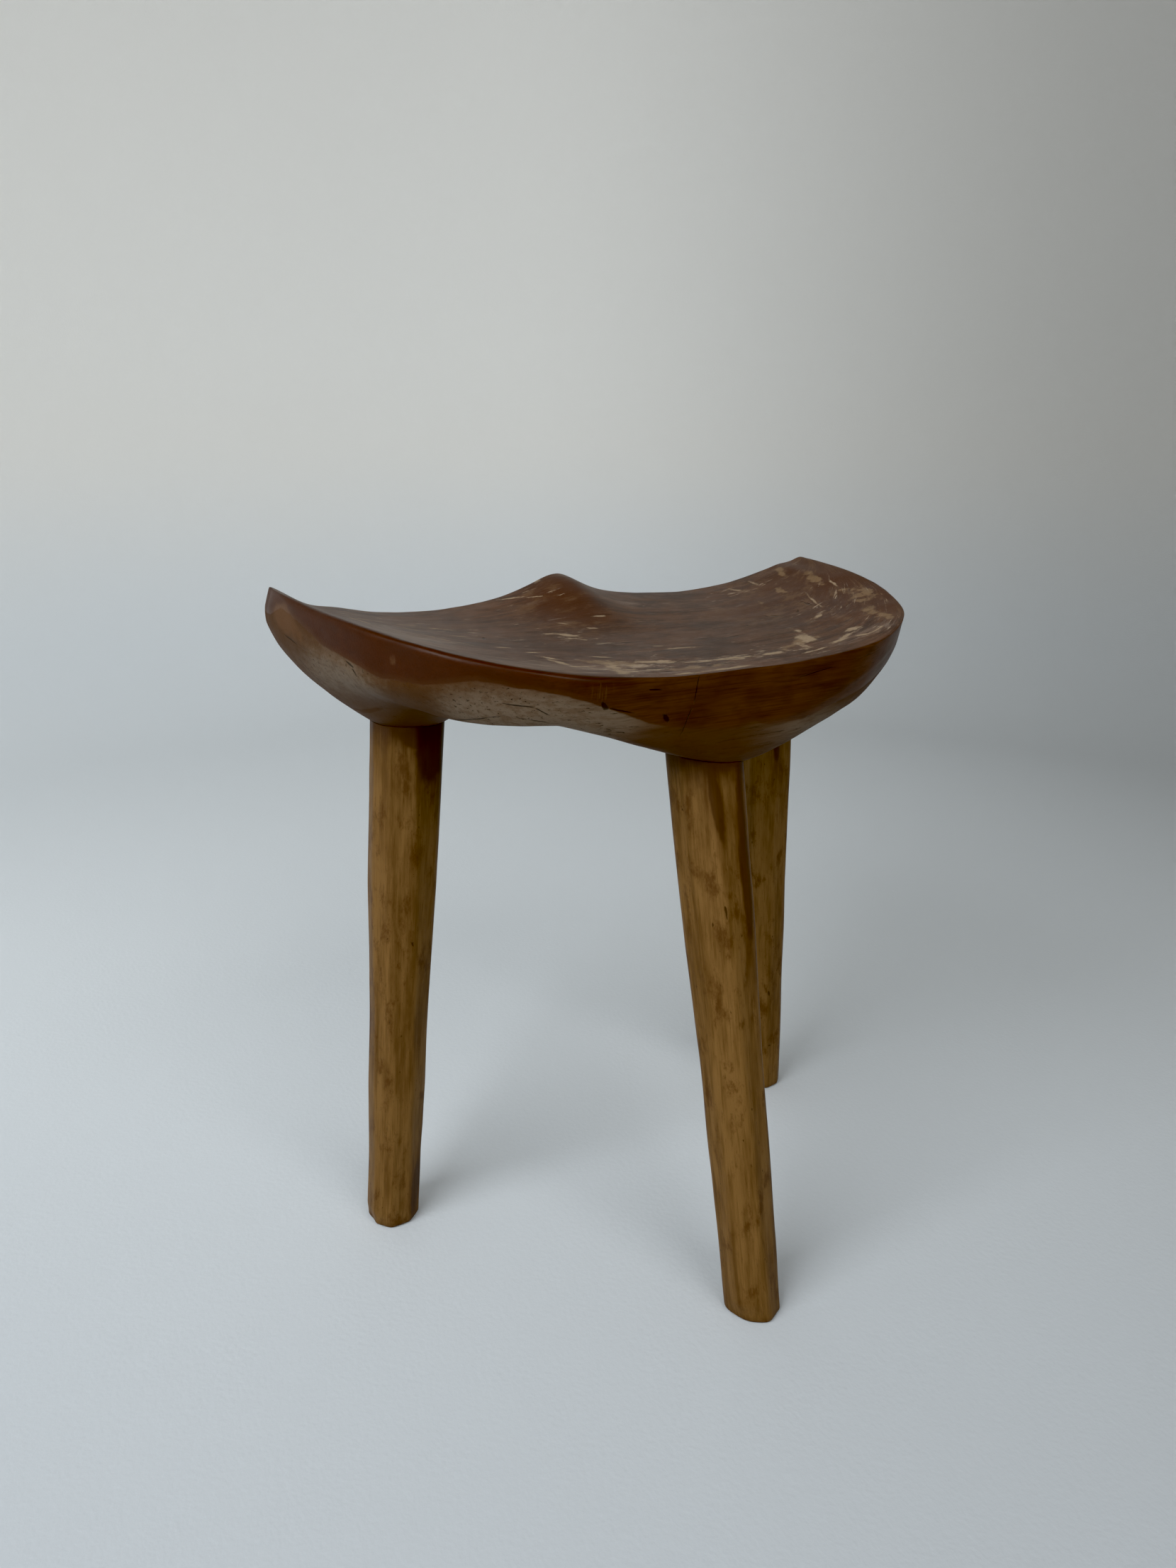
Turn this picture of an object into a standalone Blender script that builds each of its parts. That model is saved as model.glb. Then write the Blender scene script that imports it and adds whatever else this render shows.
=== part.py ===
"""Tripod stool: a carved saddle seat on three shaved legs.

The seat is one thick plank, carved by hand. Its top is dished and rises to a wing at each side, with a
pommel in the middle of the straight front edge. Its edge is a facet that runs down to a soft crease, and
below the crease the wood flares under to three bosses. Each leg has a round tenon glued in a blind socket
in its boss, and its shoulder is scribed to the boss, so no tenon shows on the sitting surface.

Frame: metres, +X along the seat's width, +Y towards the pommel, +Z up, floor at z = 0.
"""

from math import pi

import bmesh
import bpy
import numpy as np
from mathutils import Vector

# Seat block. Width and depth are those of the rim, and falls are measured down from the wing tips.
SEAT_WIDTH = 0.416
SEAT_DEPTH = 0.193
SEAT_HEIGHT = 0.440
BACK_FALL = 0.039
DISH_SAG = 0.0025
CENTRE_BACK = 0.095
UNDERSIDE_FALL = 0.0615
EDGE_ROUND = 0.002

# Edge facet and the flare below it
FACET_DEPTH = 0.032
FLARE_REACH = 0.060
KNEE_FALL = 0.045
SPINE_BACK = 0.080

# Pommel and the ridge that runs back from it
POMMEL_RISE = 0.0185
POMMEL_LEFT = 0.008
POMMEL_NOSE = 0.006
POMMEL_WIDTH_LEFT = 0.033
POMMEL_WIDTH_RIGHT = 0.023
RIDGE_LENGTH = 0.095

# The front edge dips a little lower left of the pommel
LEFT_DIP = 0.002
LEFT_DIP_OUT = 0.125
LEFT_DIP_WIDTH = 0.070

# Bosses, where the legs meet the seat. The side joints are inset from the wing tips, the back one from the
# back edge.
SIDE_JOINT_INSET = 0.068
SIDE_JOINT_BACK = 0.042
SIDE_BOSS_FALL = 0.086
SIDE_BOSS_FLAT = 0.006
SIDE_BOSS_SPREAD = 0.058
BACK_JOINT_INSET = 0.034
BACK_BOSS_FALL = 0.099
BACK_BOSS_FLAT = 0.012
BACK_BOSS_SPREAD = 0.095
BACK_BOSS_RIGHT = 0.010

# Legs. Each splay is the way from the joint to the foot, as seen from above.
LEFT_SPLAY_OUT = 0.025
RIGHT_SPLAY_OUT = 0.029
SIDE_SPLAY_FORWARD = 0.012
BACK_SPLAY = 0.0685
SHOULDER_DIAMETER = 0.048
FOOT_DIAMETER = 0.0375
FOOT_ROUND = 0.0025
SHAVE_DEPTH = 0.0004
SHAVE_FLATS = 9

# Joints
TENON_DIAMETER = 0.028
TENON_LENGTH = 0.026
TENON_CHAMFER = 0.002
JOINT_GAP = 0.0003
OVERRUN = 0.020

# Counts
SPAN_STEPS = 3
TOP_RINGS = 9
FLARE_RINGS = 5
UNDER_RINGS = 8
LEG_SIDES = 36
TENON_SIDES = 24

# Half of the seat's outline, from the middle of the front edge round to the middle of the back, with the
# shape of the edge below each place. Columns: x as a share of half the width, y back from the front edge
# as a share of the depth, fall of the rim as a share of BACK_FALL, inset and fall of the crease as shares
# of FLARE_REACH and FACET_DEPTH, inset and fall of the flare's knee as shares of FLARE_REACH and KNEE_FALL,
# and inset of the bottom edge as a share of FLARE_REACH.
OUTLINE_SHARES = (
    (0.000, 0.000, 0.54, 0.05, 0.60, 0.12, 0.80, 0.32),
    (0.100, 0.000, 0.54, 0.05, 0.58, 0.12, 0.80, 0.32),
    (0.250, 0.000, 0.54, 0.05, 0.52, 0.12, 0.78, 0.30),
    (0.500, 0.000, 0.54, 0.05, 0.45, 0.10, 0.78, 0.30),
    (0.735, 0.000, 0.43, 0.04, 0.45, 0.08, 0.85, 0.35),
    (0.870, 0.001, 0.26, 0.02, 0.45, 0.04, 0.88, 0.60),
    (0.950, 0.003, 0.09, -0.04, 0.45, 0.00, 0.88, 0.85),
    (0.992, 0.012, 0.00, -0.08, 0.45, -0.04, 0.88, 1.00),
    (0.995, 0.050, 0.02, -0.08, 0.45, -0.04, 0.88, 0.96),
    (0.988, 0.170, 0.07, -0.04, 0.50, -0.02, 0.86, 0.84),
    (0.962, 0.330, 0.14, -0.01, 0.62, 0.01, 0.88, 0.72),
    (0.876, 0.618, 0.34, 0.02, 0.80, 0.05, 0.88, 0.50),
    (0.732, 0.852, 0.58, 0.04, 0.36, 0.08, 0.64, 0.27),
    (0.530, 0.975, 0.80, 0.05, 0.42, 0.10, 0.64, 0.22),
    (0.282, 0.992, 0.96, 0.04, 0.85, 0.08, 0.90, 0.22),
    (0.000, 0.990, 1.00, 0.03, 0.97, 0.06, 1.00, 0.18),
)

# Fatness of a leg, as a share of the way from the foot's diameter to the shoulder's, by its height's share.
FATNESS_SHARES = (
    (0.00, 0.00),
    (0.15, 0.05),
    (0.34, 0.24),
    (0.50, 0.36),
    (0.58, 0.48),
    (0.68, 0.72),
    (0.80, 0.88),
    (0.92, 0.97),
    (1.00, 1.00),
)

SEAT_COLOUR = (0.110, 0.040, 0.020, 1.0)
LEG_COLOUR = (0.420, 0.250, 0.085, 1.0)

SIDE_JOINT_OUT = SEAT_WIDTH / 2 - SIDE_JOINT_INSET
BACK_JOINT_BACK = SEAT_DEPTH - BACK_JOINT_INSET

# The stool stands with its box centred on the origin, so the front edge lies half of the overall depth in
# front of it. The overall depth runs from the pommel's nose to the outer edge of the back foot.
BACK_REACH = BACK_JOINT_BACK + BACK_SPLAY + FOOT_DIAMETER / 2
FRONT_EDGE_Y = (BACK_REACH - POMMEL_NOSE) / 2


def clear_scene():
    """Remove every object, so that the script gives the same scene each run."""
    for item in list(bpy.data.objects):
        bpy.data.objects.remove(item, do_unlink=True)


def make_material(name, colour, roughness):
    """Make one plain wood material."""
    material = bpy.data.materials.new(name)
    material.use_nodes = True
    shader = material.node_tree.nodes["Principled BSDF"]
    shader.inputs["Base Color"].default_value = colour
    shader.inputs["Roughness"].default_value = roughness
    shader.inputs["Metallic"].default_value = 0.0
    return material


def smoothstep(value):
    """Ease from 0 to 1 with a level start and end."""
    share = np.clip(value, 0.0, 1.0)
    return share * share * (3.0 - 2.0 * share)


def outline_stations():
    """Mirror the half outline, and join both halves into one closed list of stations."""
    half = np.array(OUTLINE_SHARES)
    other_half = half[-2:0:-1] * np.array([-1.0] + [1.0] * (half.shape[1] - 1))
    return np.vstack([half, other_half])


def outline_columns():
    """Carry a smooth closed curve through the stations, for every column of the outline table at once.

    The slope at a station is the mean of the slopes to its two neighbours, each weighed by the length of
    the other span, and a cubic joins each pair of stations.
    """
    stations = outline_stations()
    following = np.roll(stations, -1, axis=0)
    places = np.array([SEAT_WIDTH / 2, SEAT_DEPTH])
    spans = np.linalg.norm((following - stations)[:, :2] * places, axis=1)[:, None]
    slopes = (following - stations) / spans
    before = np.roll(slopes, 1, axis=0)
    span_before = np.roll(spans, 1, axis=0)
    tangents = (before * spans + slopes * span_before) / (spans + span_before)
    tangents_next = np.roll(tangents, -1, axis=0)
    rows = []
    for step in range(SPAN_STEPS):
        t = step / SPAN_STEPS
        rows.append(
            (2 * t**3 - 3 * t**2 + 1) * stations
            + (t**3 - 2 * t**2 + t) * spans * tangents
            + (3 * t**2 - 2 * t**3) * following
            + (t**3 - t**2) * spans * tangents_next
        )
    return np.stack(rows, axis=1).reshape(-1, stations.shape[1])


def ridge_share(x, back):
    """Height of the pommel's ridge as a share of POMMEL_RISE.

    Across, it is a bell with a narrower right side. Along, it eases from full height at the front edge to
    nothing at RIDGE_LENGTH behind it.
    """
    across = x + POMMEL_LEFT
    width = np.where(across > 0, POMMEL_WIDTH_RIGHT, POMMEL_WIDTH_LEFT)
    bell = 1.0 / (1.0 + (across / width) ** 2)
    return bell * (1.0 - smoothstep(back / RIDGE_LENGTH))


def relief(x, back):
    """Height of the pommel's ridge above the plain dish, less the dip left of it, which is a bell."""
    bell = np.exp(-(((x + LEFT_DIP_OUT) / LEFT_DIP_WIDTH) ** 2))
    dip = LEFT_DIP * bell * (1.0 - smoothstep(back / RIDGE_LENGTH))
    return POMMEL_RISE * ridge_share(x, back) - dip


def underside_height(x, back):
    """Height of the underside: a level face with three bosses that swell down from it to the joints."""
    height = np.full(np.shape(x), SEAT_HEIGHT - UNDERSIDE_FALL)
    for boss_x, boss_back, fall, flat, spread in boss_places():
        away = np.hypot(x - boss_x, back - boss_back) - flat
        boss = SEAT_HEIGHT - fall + (fall - UNDERSIDE_FALL) * smoothstep(away / spread)
        height = np.minimum(height, boss)
    return height


def boss_places():
    """Place, fall, flat radius and spread of each boss: left, right and back."""
    side = (SIDE_JOINT_BACK, SIDE_BOSS_FALL, SIDE_BOSS_FLAT, SIDE_BOSS_SPREAD)
    return (
        (-SIDE_JOINT_OUT, *side),
        (SIDE_JOINT_OUT, *side),
        (BACK_BOSS_RIGHT, BACK_JOINT_BACK, BACK_BOSS_FALL, BACK_BOSS_FLAT, BACK_BOSS_SPREAD),
    )


def top_height(x, back, rim_x, rim_back, rim_z):
    """Height of the top before its ridge.

    At each distance out from the middle, a straight rule runs from the front edge back to the rim. The
    dish sags below it by a parabola, which fades out towards the wing tips.
    """
    out = np.abs(x)
    rim = np.stack([rim_x, rim_back, rim_z])
    tip = int(np.argmax(rim_x))
    middle_of_back = len(rim_x) // 2
    front_x, front_back, front_z = rim[:, : tip + 1]
    rear_x, rear_back, rear_z = rim[:, middle_of_back : tip - 1 : -1]
    start = np.interp(out, front_x, front_back)
    length = np.interp(out, rear_x, rear_back) - start
    share = np.clip((back - start) / np.maximum(length, JOINT_GAP), 0.0, 1.0)
    near = np.interp(out, front_x, front_z)
    far = np.interp(out, rear_x, rear_z)
    sag = DISH_SAG * 4 * share * (1 - share) * (1 - (out / rim_x[tip]) ** 2)
    return near + (far - near) * share - sag


def seat_rings():
    """Rings of points from the middle of the top, over the rim and down the edge, to the underside's middle.

    Inside the seat's own plan, back is the distance behind the front edge. The rim is rounded by a quarter
    circle. The flare below the crease is a quadratic curve from the crease over its knee to the bottom edge.
    """
    table = outline_columns()
    rim_x = table[:, 0] * SEAT_WIDTH / 2
    rim_back = table[:, 1] * SEAT_DEPTH
    rim_z = SEAT_HEIGHT - table[:, 2] * BACK_FALL

    spine_x = rim_x * (1.0 - SPINE_BACK / SEAT_DEPTH)
    inward = np.stack([spine_x - rim_x, SPINE_BACK - rim_back])
    inward /= np.linalg.norm(inward, axis=0)

    def inset(distance):
        return rim_x + inward[0] * distance, rim_back + inward[1] * distance

    def top_point(x, back):
        z = top_height(x, back, rim_x, rim_back, rim_z) + relief(x, back)
        return x, back - POMMEL_NOSE * ridge_share(x, back), z

    rings = []
    edge_x, edge_back = inset(EDGE_ROUND)
    for step in range(1, TOP_RINGS + 1):
        share = step / TOP_RINGS
        rings.append(top_point(edge_x * share, CENTRE_BACK + (edge_back - CENTRE_BACK) * share))

    nose = POMMEL_NOSE * ridge_share(rim_x, rim_back)
    crown_z = rim_z + relief(rim_x, rim_back)
    for angle_share in (0.5, 1.0):
        angle = angle_share * pi / 2
        x, back = inset(EDGE_ROUND * (1.0 - np.sin(angle)))
        rings.append((x, back - nose, crown_z - EDGE_ROUND * (1.0 - np.cos(angle))))

    crease_inset = table[:, 3] * FLARE_REACH
    crease_x, crease_back = inset(crease_inset)
    crease_z = rim_z - table[:, 4] * FACET_DEPTH
    rings.append((crease_x, crease_back, crease_z))

    knee_x, knee_back = inset(table[:, 5] * FLARE_REACH)
    knee_z = rim_z - table[:, 6] * KNEE_FALL
    foot_x, foot_back = inset(table[:, 7] * FLARE_REACH)
    foot_z = underside_height(foot_x, foot_back)
    for step in range(1, FLARE_RINGS + 1):
        t = step / FLARE_RINGS
        start, bend, end = (1 - t) ** 2, 2 * t * (1 - t), t**2
        rings.append(
            (
                start * crease_x + bend * knee_x + end * foot_x,
                start * crease_back + bend * knee_back + end * foot_back,
                start * crease_z + bend * knee_z + end * foot_z,
            )
        )

    for step in range(UNDER_RINGS - 1, 0, -1):
        share = step / UNDER_RINGS
        x = foot_x * share
        back = CENTRE_BACK + (foot_back - CENTRE_BACK) * share
        rings.append((x, back, underside_height(x, back)))

    top = top_point(0.0, CENTRE_BACK)
    bottom = (0.0, CENTRE_BACK, underside_height(0.0, CENTRE_BACK))
    return rings, top, bottom


def to_frame(x, back, z):
    """Turn a place in the seat's plan into a point of the part's frame."""
    return Vector((float(x), float(FRONT_EDGE_Y - back), float(z)))


def loft(rings, first, last):
    """Skin closed rings of points, and close both ends with a fan to a point.

    The faces are split into triangles here, so that a twisted quad has the same flat halves in the piece
    and in whatever it cuts.
    """
    mesh = bmesh.new()
    loops = [[mesh.verts.new(point) for point in ring] for ring in rings]
    poles = (mesh.verts.new(first), mesh.verts.new(last))
    count = len(loops[0])
    for upper, lower in zip(loops, loops[1:]):
        for near in range(count):
            far = (near + 1) % count
            mesh.faces.new((upper[near], lower[near], lower[far], upper[far]))
    for near in range(count):
        far = (near + 1) % count
        mesh.faces.new((poles[0], loops[0][near], loops[0][far]))
        mesh.faces.new((poles[1], loops[-1][far], loops[-1][near]))
    bmesh.ops.triangulate(mesh, faces=mesh.faces[:])
    bmesh.ops.recalc_face_normals(mesh, faces=mesh.faces[:])
    return mesh


def add_object(name, mesh, material=None):
    """Link a bmesh as a named object."""
    data = bpy.data.meshes.new(name)
    mesh.to_mesh(data)
    mesh.free()
    if material:
        data.materials.append(material)
    item = bpy.data.objects.new(name, data)
    bpy.context.scene.collection.objects.link(item)
    return item


def make_cutter(name, mesh):
    """Link a bmesh as a guide that only cuts or adds to other objects."""
    item = add_object(name, mesh)
    item.hide_render = True
    item.display_type = "WIRE"
    return item


def add_boolean(item, other, operation):
    """Cut or join one object with another, exactly."""
    boolean = item.modifiers.new(operation.title() + " " + other.name, "BOOLEAN")
    boolean.operation = operation
    boolean.solver = "EXACT"
    boolean.object = other


def smooth(item, angle=pi / 6):
    """Shade an object smooth, apart from its sharp edges."""
    item.data.shade_smooth()
    item.data.set_sharp_from_angle(angle=angle)


def seat_mesh():
    """Loft the carved seat, with no sockets."""
    rings, top, bottom = seat_rings()
    points = [[to_frame(*place) for place in zip(*ring)] for ring in rings]
    return loft(points, to_frame(*top), to_frame(*bottom))


def leg_places():
    """Name, joint, splay and fall of each leg. Joint and splay are x and distance back, seen from above."""
    return (
        ("left", (-SIDE_JOINT_OUT, SIDE_JOINT_BACK), (-LEFT_SPLAY_OUT, -SIDE_SPLAY_FORWARD), SIDE_BOSS_FALL),
        ("right", (SIDE_JOINT_OUT, SIDE_JOINT_BACK), (RIGHT_SPLAY_OUT, -SIDE_SPLAY_FORWARD), SIDE_BOSS_FALL),
        ("back", (0.0, BACK_JOINT_BACK), (0.0, BACK_SPLAY), BACK_BOSS_FALL),
    )


def shank_radius(height_share):
    """Radius of a leg's shank at a share of its height."""
    heights, shares = np.array(FATNESS_SHARES).T
    share = float(np.interp(height_share, heights, shares))
    return (FOOT_DIAMETER + (SHOULDER_DIAMETER - FOOT_DIAMETER) * share) / 2


def round_points(radius, height, sides, flats=0):
    """Points of a level ring. With flats, the radius dips by SHAVE_DEPTH at each of the shaved flats."""
    points = []
    for side in range(sides):
        angle = 2 * pi * side / sides
        dip = SHAVE_DEPTH * (1 + np.cos(flats * angle)) / 2 if flats else 0.0
        points.append(Vector(((radius - dip) * np.cos(angle), (radius - dip) * np.sin(angle), height)))
    return points


def level(ring, height, up):
    """Slide a ring's points along the leg until they all lie level, at one height above the floor."""
    return [Vector((p.x, p.y, (height - up.x * p.x - up.y * p.y) / up.z)) for p in ring]


def aim(item, foot, joint):
    """Stand an object at the foot with its own +Z towards the joint."""
    item.location = foot
    item.rotation_mode = "QUATERNION"
    item.rotation_quaternion = (joint - foot).to_track_quat("Z", "Y")
    bpy.context.view_layer.update()


def shank_mesh(foot, joint):
    """Loft a leg's shank along its own +Z, from its level foot to a little past the joint.

    The foot's edge is rounded by a quarter circle. Its rings are level, and the shank's are square to it.
    """
    length = (joint - foot).length
    up = (joint - foot).to_track_quat("Z", "Y").inverted() @ Vector((0, 0, 1))
    rings = []
    for angle_share in (0.0, 0.5, 1.0):
        angle = angle_share * pi / 2
        radius = shank_radius(0.0) - FOOT_ROUND * (1.0 - np.sin(angle))
        ring = round_points(radius, 0.0, LEG_SIDES, SHAVE_FLATS)
        rings.append(level(ring, FOOT_ROUND * (1.0 - np.cos(angle)), up))
    for height_share, _ in FATNESS_SHARES[1:]:
        rings.append(round_points(shank_radius(height_share), height_share * length, LEG_SIDES, SHAVE_FLATS))
    top = length + OVERRUN
    rings.append(round_points(shank_radius(1.0), top, LEG_SIDES, SHAVE_FLATS))
    return loft(rings, Vector((0, 0, 0)), Vector((0, 0, top)))


def peg_mesh(diameter, start, end, chamfer):
    """Make a round peg along +Z, with a chamfered upper end."""
    radius = diameter / 2
    rings = [
        round_points(radius, start, TENON_SIDES),
        round_points(radius, end - chamfer, TENON_SIDES),
        round_points(radius - chamfer, end, TENON_SIDES),
    ]
    return loft(rings, Vector((0, 0, start)), Vector((0, 0, end)))


def build_seat(material):
    """Make the seat, still without sockets."""
    seat = add_object("seat", seat_mesh(), material)
    smooth(seat)
    return seat


def build_leg(name, joint_place, splay, fall, seat, scribe, material):
    """Make one leg with its tenon, and cut its socket in the seat."""
    joint = to_frame(*joint_place, SEAT_HEIGHT - fall)
    foot = to_frame(joint_place[0] + splay[0], joint_place[1] + splay[1], 0.0)
    length = (joint - foot).length

    leg = add_object("leg_" + name, shank_mesh(foot, joint), material)
    aim(leg, foot, joint)
    add_boolean(leg, scribe, "DIFFERENCE")

    tenon = make_cutter(
        "tenon_guide_" + name,
        peg_mesh(TENON_DIAMETER, length - OVERRUN, length + TENON_LENGTH, TENON_CHAMFER),
    )
    aim(tenon, foot, joint)
    add_boolean(leg, tenon, "UNION")

    drill = make_cutter(
        "socket_guide_" + name,
        peg_mesh(
            TENON_DIAMETER + 2 * JOINT_GAP,
            length - OVERRUN,
            length + TENON_LENGTH + JOINT_GAP,
            TENON_CHAMFER,
        ),
    )
    aim(drill, foot, joint)
    add_boolean(seat, drill, "DIFFERENCE")
    smooth(leg)


def build_stool():
    """Build the seat and its three legs."""
    seat_wood = make_material("seat_wood", SEAT_COLOUR, 0.40)
    leg_wood = make_material("leg_wood", LEG_COLOUR, 0.50)
    seat = build_seat(seat_wood)
    scribe = make_cutter("scribe_guide", seat_mesh())
    scribe.location.z = -JOINT_GAP
    for name, joint_place, splay, fall in leg_places():
        build_leg(name, joint_place, splay, fall, seat, scribe, leg_wood)


clear_scene()
build_stool()
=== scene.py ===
"""Looks of the tripod stool: a finely carved saddle seat in worn lacquer, on three shaved ochre legs.

The seat and the legs are fine surfaces with the sizes of the CAD solids that they stand for. Inside the
seat's own plan a place is (x, back, z), where back is the distance behind the straight front edge.

Frame: metres, +X along the seat's width, +Y towards the pommel, +Z up, floor at z = 0.
"""

import logging
from collections.abc import Sequence
from dataclasses import dataclass, field
from enum import Enum
from math import cos, pi, radians, sin

import bpy
import numpy as np
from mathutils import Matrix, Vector
from numpy.typing import NDArray


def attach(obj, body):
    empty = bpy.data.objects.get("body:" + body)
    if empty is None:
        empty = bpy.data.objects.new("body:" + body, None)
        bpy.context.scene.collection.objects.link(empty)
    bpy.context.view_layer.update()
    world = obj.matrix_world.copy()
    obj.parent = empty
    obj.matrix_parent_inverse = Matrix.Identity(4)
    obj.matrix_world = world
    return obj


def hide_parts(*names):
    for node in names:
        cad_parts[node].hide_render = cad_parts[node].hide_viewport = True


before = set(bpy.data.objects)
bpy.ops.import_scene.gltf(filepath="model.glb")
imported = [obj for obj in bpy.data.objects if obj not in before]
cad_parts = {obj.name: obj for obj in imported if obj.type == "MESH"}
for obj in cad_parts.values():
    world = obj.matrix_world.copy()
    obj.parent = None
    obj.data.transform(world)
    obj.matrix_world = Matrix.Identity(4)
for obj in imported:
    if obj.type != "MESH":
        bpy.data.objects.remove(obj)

LOG = logging.getLogger("stool")

Array = NDArray[np.float64]
Colour = tuple[float, float, float]
Place = tuple[float, float, float]

MM = 0.001
TINY = 1e-14
SHARP_ANGLE = radians(50)
BODY = "root"

# Half of the seat's outline, from the middle of the front edge round to the middle of the back, with the
# shape of the edge below each place. Columns: x as a share of half the width, y back from the front edge
# as a share of the depth, fall of the rim as a share of back_fall, inset and fall of the crease as shares
# of flare_reach and facet_depth, inset and fall of the flare's knee as shares of flare_reach and knee_fall,
# and inset of the bottom edge as a share of flare_reach.
OUTLINE_SHARES = (
    (0.000, 0.000, 0.54, 0.05, 0.60, 0.12, 0.80, 0.32),
    (0.100, 0.000, 0.54, 0.05, 0.58, 0.12, 0.80, 0.32),
    (0.250, 0.000, 0.54, 0.05, 0.52, 0.12, 0.78, 0.30),
    (0.500, 0.000, 0.54, 0.05, 0.45, 0.10, 0.78, 0.30),
    (0.735, 0.000, 0.43, 0.04, 0.45, 0.08, 0.85, 0.35),
    (0.870, 0.001, 0.26, 0.02, 0.45, 0.04, 0.88, 0.60),
    (0.950, 0.003, 0.09, -0.04, 0.45, -0.02, 0.94, 0.85),
    (0.992, 0.012, 0.00, -0.08, 0.45, -0.06, 1.00, 1.00),
    (0.995, 0.050, 0.02, -0.08, 0.45, -0.06, 1.00, 0.96),
    (0.988, 0.170, 0.07, -0.04, 0.50, -0.04, 0.98, 0.84),
    (0.962, 0.330, 0.14, -0.01, 0.62, 0.00, 0.94, 0.72),
    (0.876, 0.618, 0.34, 0.02, 0.80, 0.05, 0.88, 0.50),
    (0.732, 0.852, 0.58, 0.04, 0.36, 0.08, 0.64, 0.27),
    (0.530, 0.975, 0.80, 0.05, 0.42, 0.10, 0.64, 0.22),
    (0.282, 0.992, 0.96, 0.04, 0.85, 0.08, 0.90, 0.22),
    (0.000, 0.990, 1.00, 0.03, 0.97, 0.06, 1.00, 0.18),
)

# Fatness of a leg, as a share of the way from the foot's diameter to the shoulder's, by its height's share.
FATNESS_SHARES = (
    (0.00, 0.00),
    (0.15, 0.05),
    (0.34, 0.24),
    (0.50, 0.36),
    (0.58, 0.48),
    (0.68, 0.72),
    (0.80, 0.88),
    (0.92, 0.97),
    (1.00, 1.00),
)

# Lower line of the lacquer along the back, from the left wing to the right: x and height of each place.
LACQUER_LINE = (
    (-0.206, 0.430),
    (-0.198, 0.414),
    (-0.184, 0.402),
    (-0.170, 0.401),
    (-0.150, 0.405),
    (-0.125, 0.400),
    (-0.108, 0.396),
    (-0.088, 0.389),
    (-0.062, 0.378),
    (-0.035, 0.371),
    (0.000, 0.366),
    (0.010, 0.370),
    (0.025, 0.366),
    (0.050, 0.366),
    (0.066, 0.370),
    (0.100, 0.378),
    (0.150, 0.392),
    (0.206, 0.414),
)

# Streaks where the seat's top is worn to pale wood, the last four a painted highlight along the worn left
# rim:
# x and back of each end, and the width, in millimetres.
CREAM_STREAKS = (
    (-62, 77, -52, 81, 3.0),
    (-56, 79, -44, 88, 6.0),
    (-54, 88, -42, 97, 2.5),
    (-45, 60, -37, 66, 2.0),
    (-31, 74, -24, 77, 2.0),
    (-18, 60, -8, 62, 2.0),
    (-112, 112, -102, 112, 3.0),
    (-100, 125, -88, 124, 2.5),
    (-98, 136, -90, 142, 5.5),
    (-96, 144, -92, 158, 5.0),
    (-100, 163, -70, 161, 3.0),
    (-90, 168, -74, 168, 2.5),
    (-64, 156, -70, 174, 14.5),
    (-68, 172, -56, 169, 4.0),
    (-58, 162, -45, 158, 3.0),
    (-65, 136, -54, 140, 3.0),
    (-44, 153, -20, 160, 7.0),
    (-20, 162, -3, 166, 4.0),
    (-2, 165, 28, 165, 5.0),
    (27, 166, 57, 167, 4.5),
    (-46, 186, -16, 185, 4.5),
    (-16, 185, 10, 184, 4.5),
    (-34, 130, -20, 133, 2.0),
    (-9, 130, 11, 133, 3.0),
    (-13, 121, -3, 124, 2.5),
    (90, 130, 88, 143, 6.0),
    (88, 141, 75, 160, 12.0),
    (70, 157, 67, 168, 10.0),
    (57, 177, 79, 175, 3.5),
    (81, 172, 102, 167, 3.5),
    (91, 169, 107, 163, 4.5),
    (110, 158, 121, 155, 7.0),
    (103, 169, 113, 173, 3.5),
    (111, 174, 131, 167, 3.0),
    (116, 120, 135, 108, 4.5),
    (157, 64, 140, 101, 2.5),
    (181, 63, 175, 82, 2.5),
    (148, 14, 146, 27, 3.5),
    (126, 17, 130, 27, 3.0),
    (-175, 36, -166, 78, 3.0),
    (-146, 82, -126, 107, 2.5),
    (-146, 60, -138, 69, 2.5),
    (-130, 53, -117, 60, 3.0),
    (-126, 79, -114, 83, 2.5),
    (-170, 46, -148, 43, 2.5),
    (-148, 49, -132, 47, 2.5),
    (-56, 5, -40, 13, 2.5),
    (-42, 14, -32, 21, 2.0),
    # The last four: a painted highlight, the window's glint along the worn left rim.
    (-203, 40, -198, 70, 2.5),
    (-190, 96, -181, 118, 3.5),
    (-176, 130, -168, 142, 4.0),
    (-160, 153, -150, 163, 3.0),
)

# Broader yellowish wear on the top, in the same terms.
HONEY_STREAKS = (
    (171, 92, 164, 116, 14.5),
    (177, 99, 172, 119, 11.0),
    (155, 128, 146, 143, 11.0),
    (149, 146, 144, 159, 8.0),
    (184, 38, 175, 60, 9.0),
    (178, 10, 168, 28, 6.5),
    (150, 40, 146, 58, 5.5),
    (120, 60, 112, 78, 4.5),
    (-72, 150, -50, 156, 11.0),
    (-40, 176, -5, 177, 9.0),
    (60, 160, 84, 152, 11.0),
)

# Dents, nicks and dark dashes on the top, in the same terms.
DARK_STREAKS = (
    (98, 88, 108, 97, 4.0),
    (72, 101, 76, 104, 2.0),
    (141, 77, 140, 94, 4.5),
    (-105, 82, -109, 90, 2.5),
    (-93, 87, -84, 88, 2.0),
    (-12, 172, 14, 174, 1.5),
    (-60, 178, -30, 180, 1.5),
    (40, 120, 62, 122, 1.5),
    (-30, 108, -12, 110, 1.5),
    (120, 100, 128, 90, 2.0),
)

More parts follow.
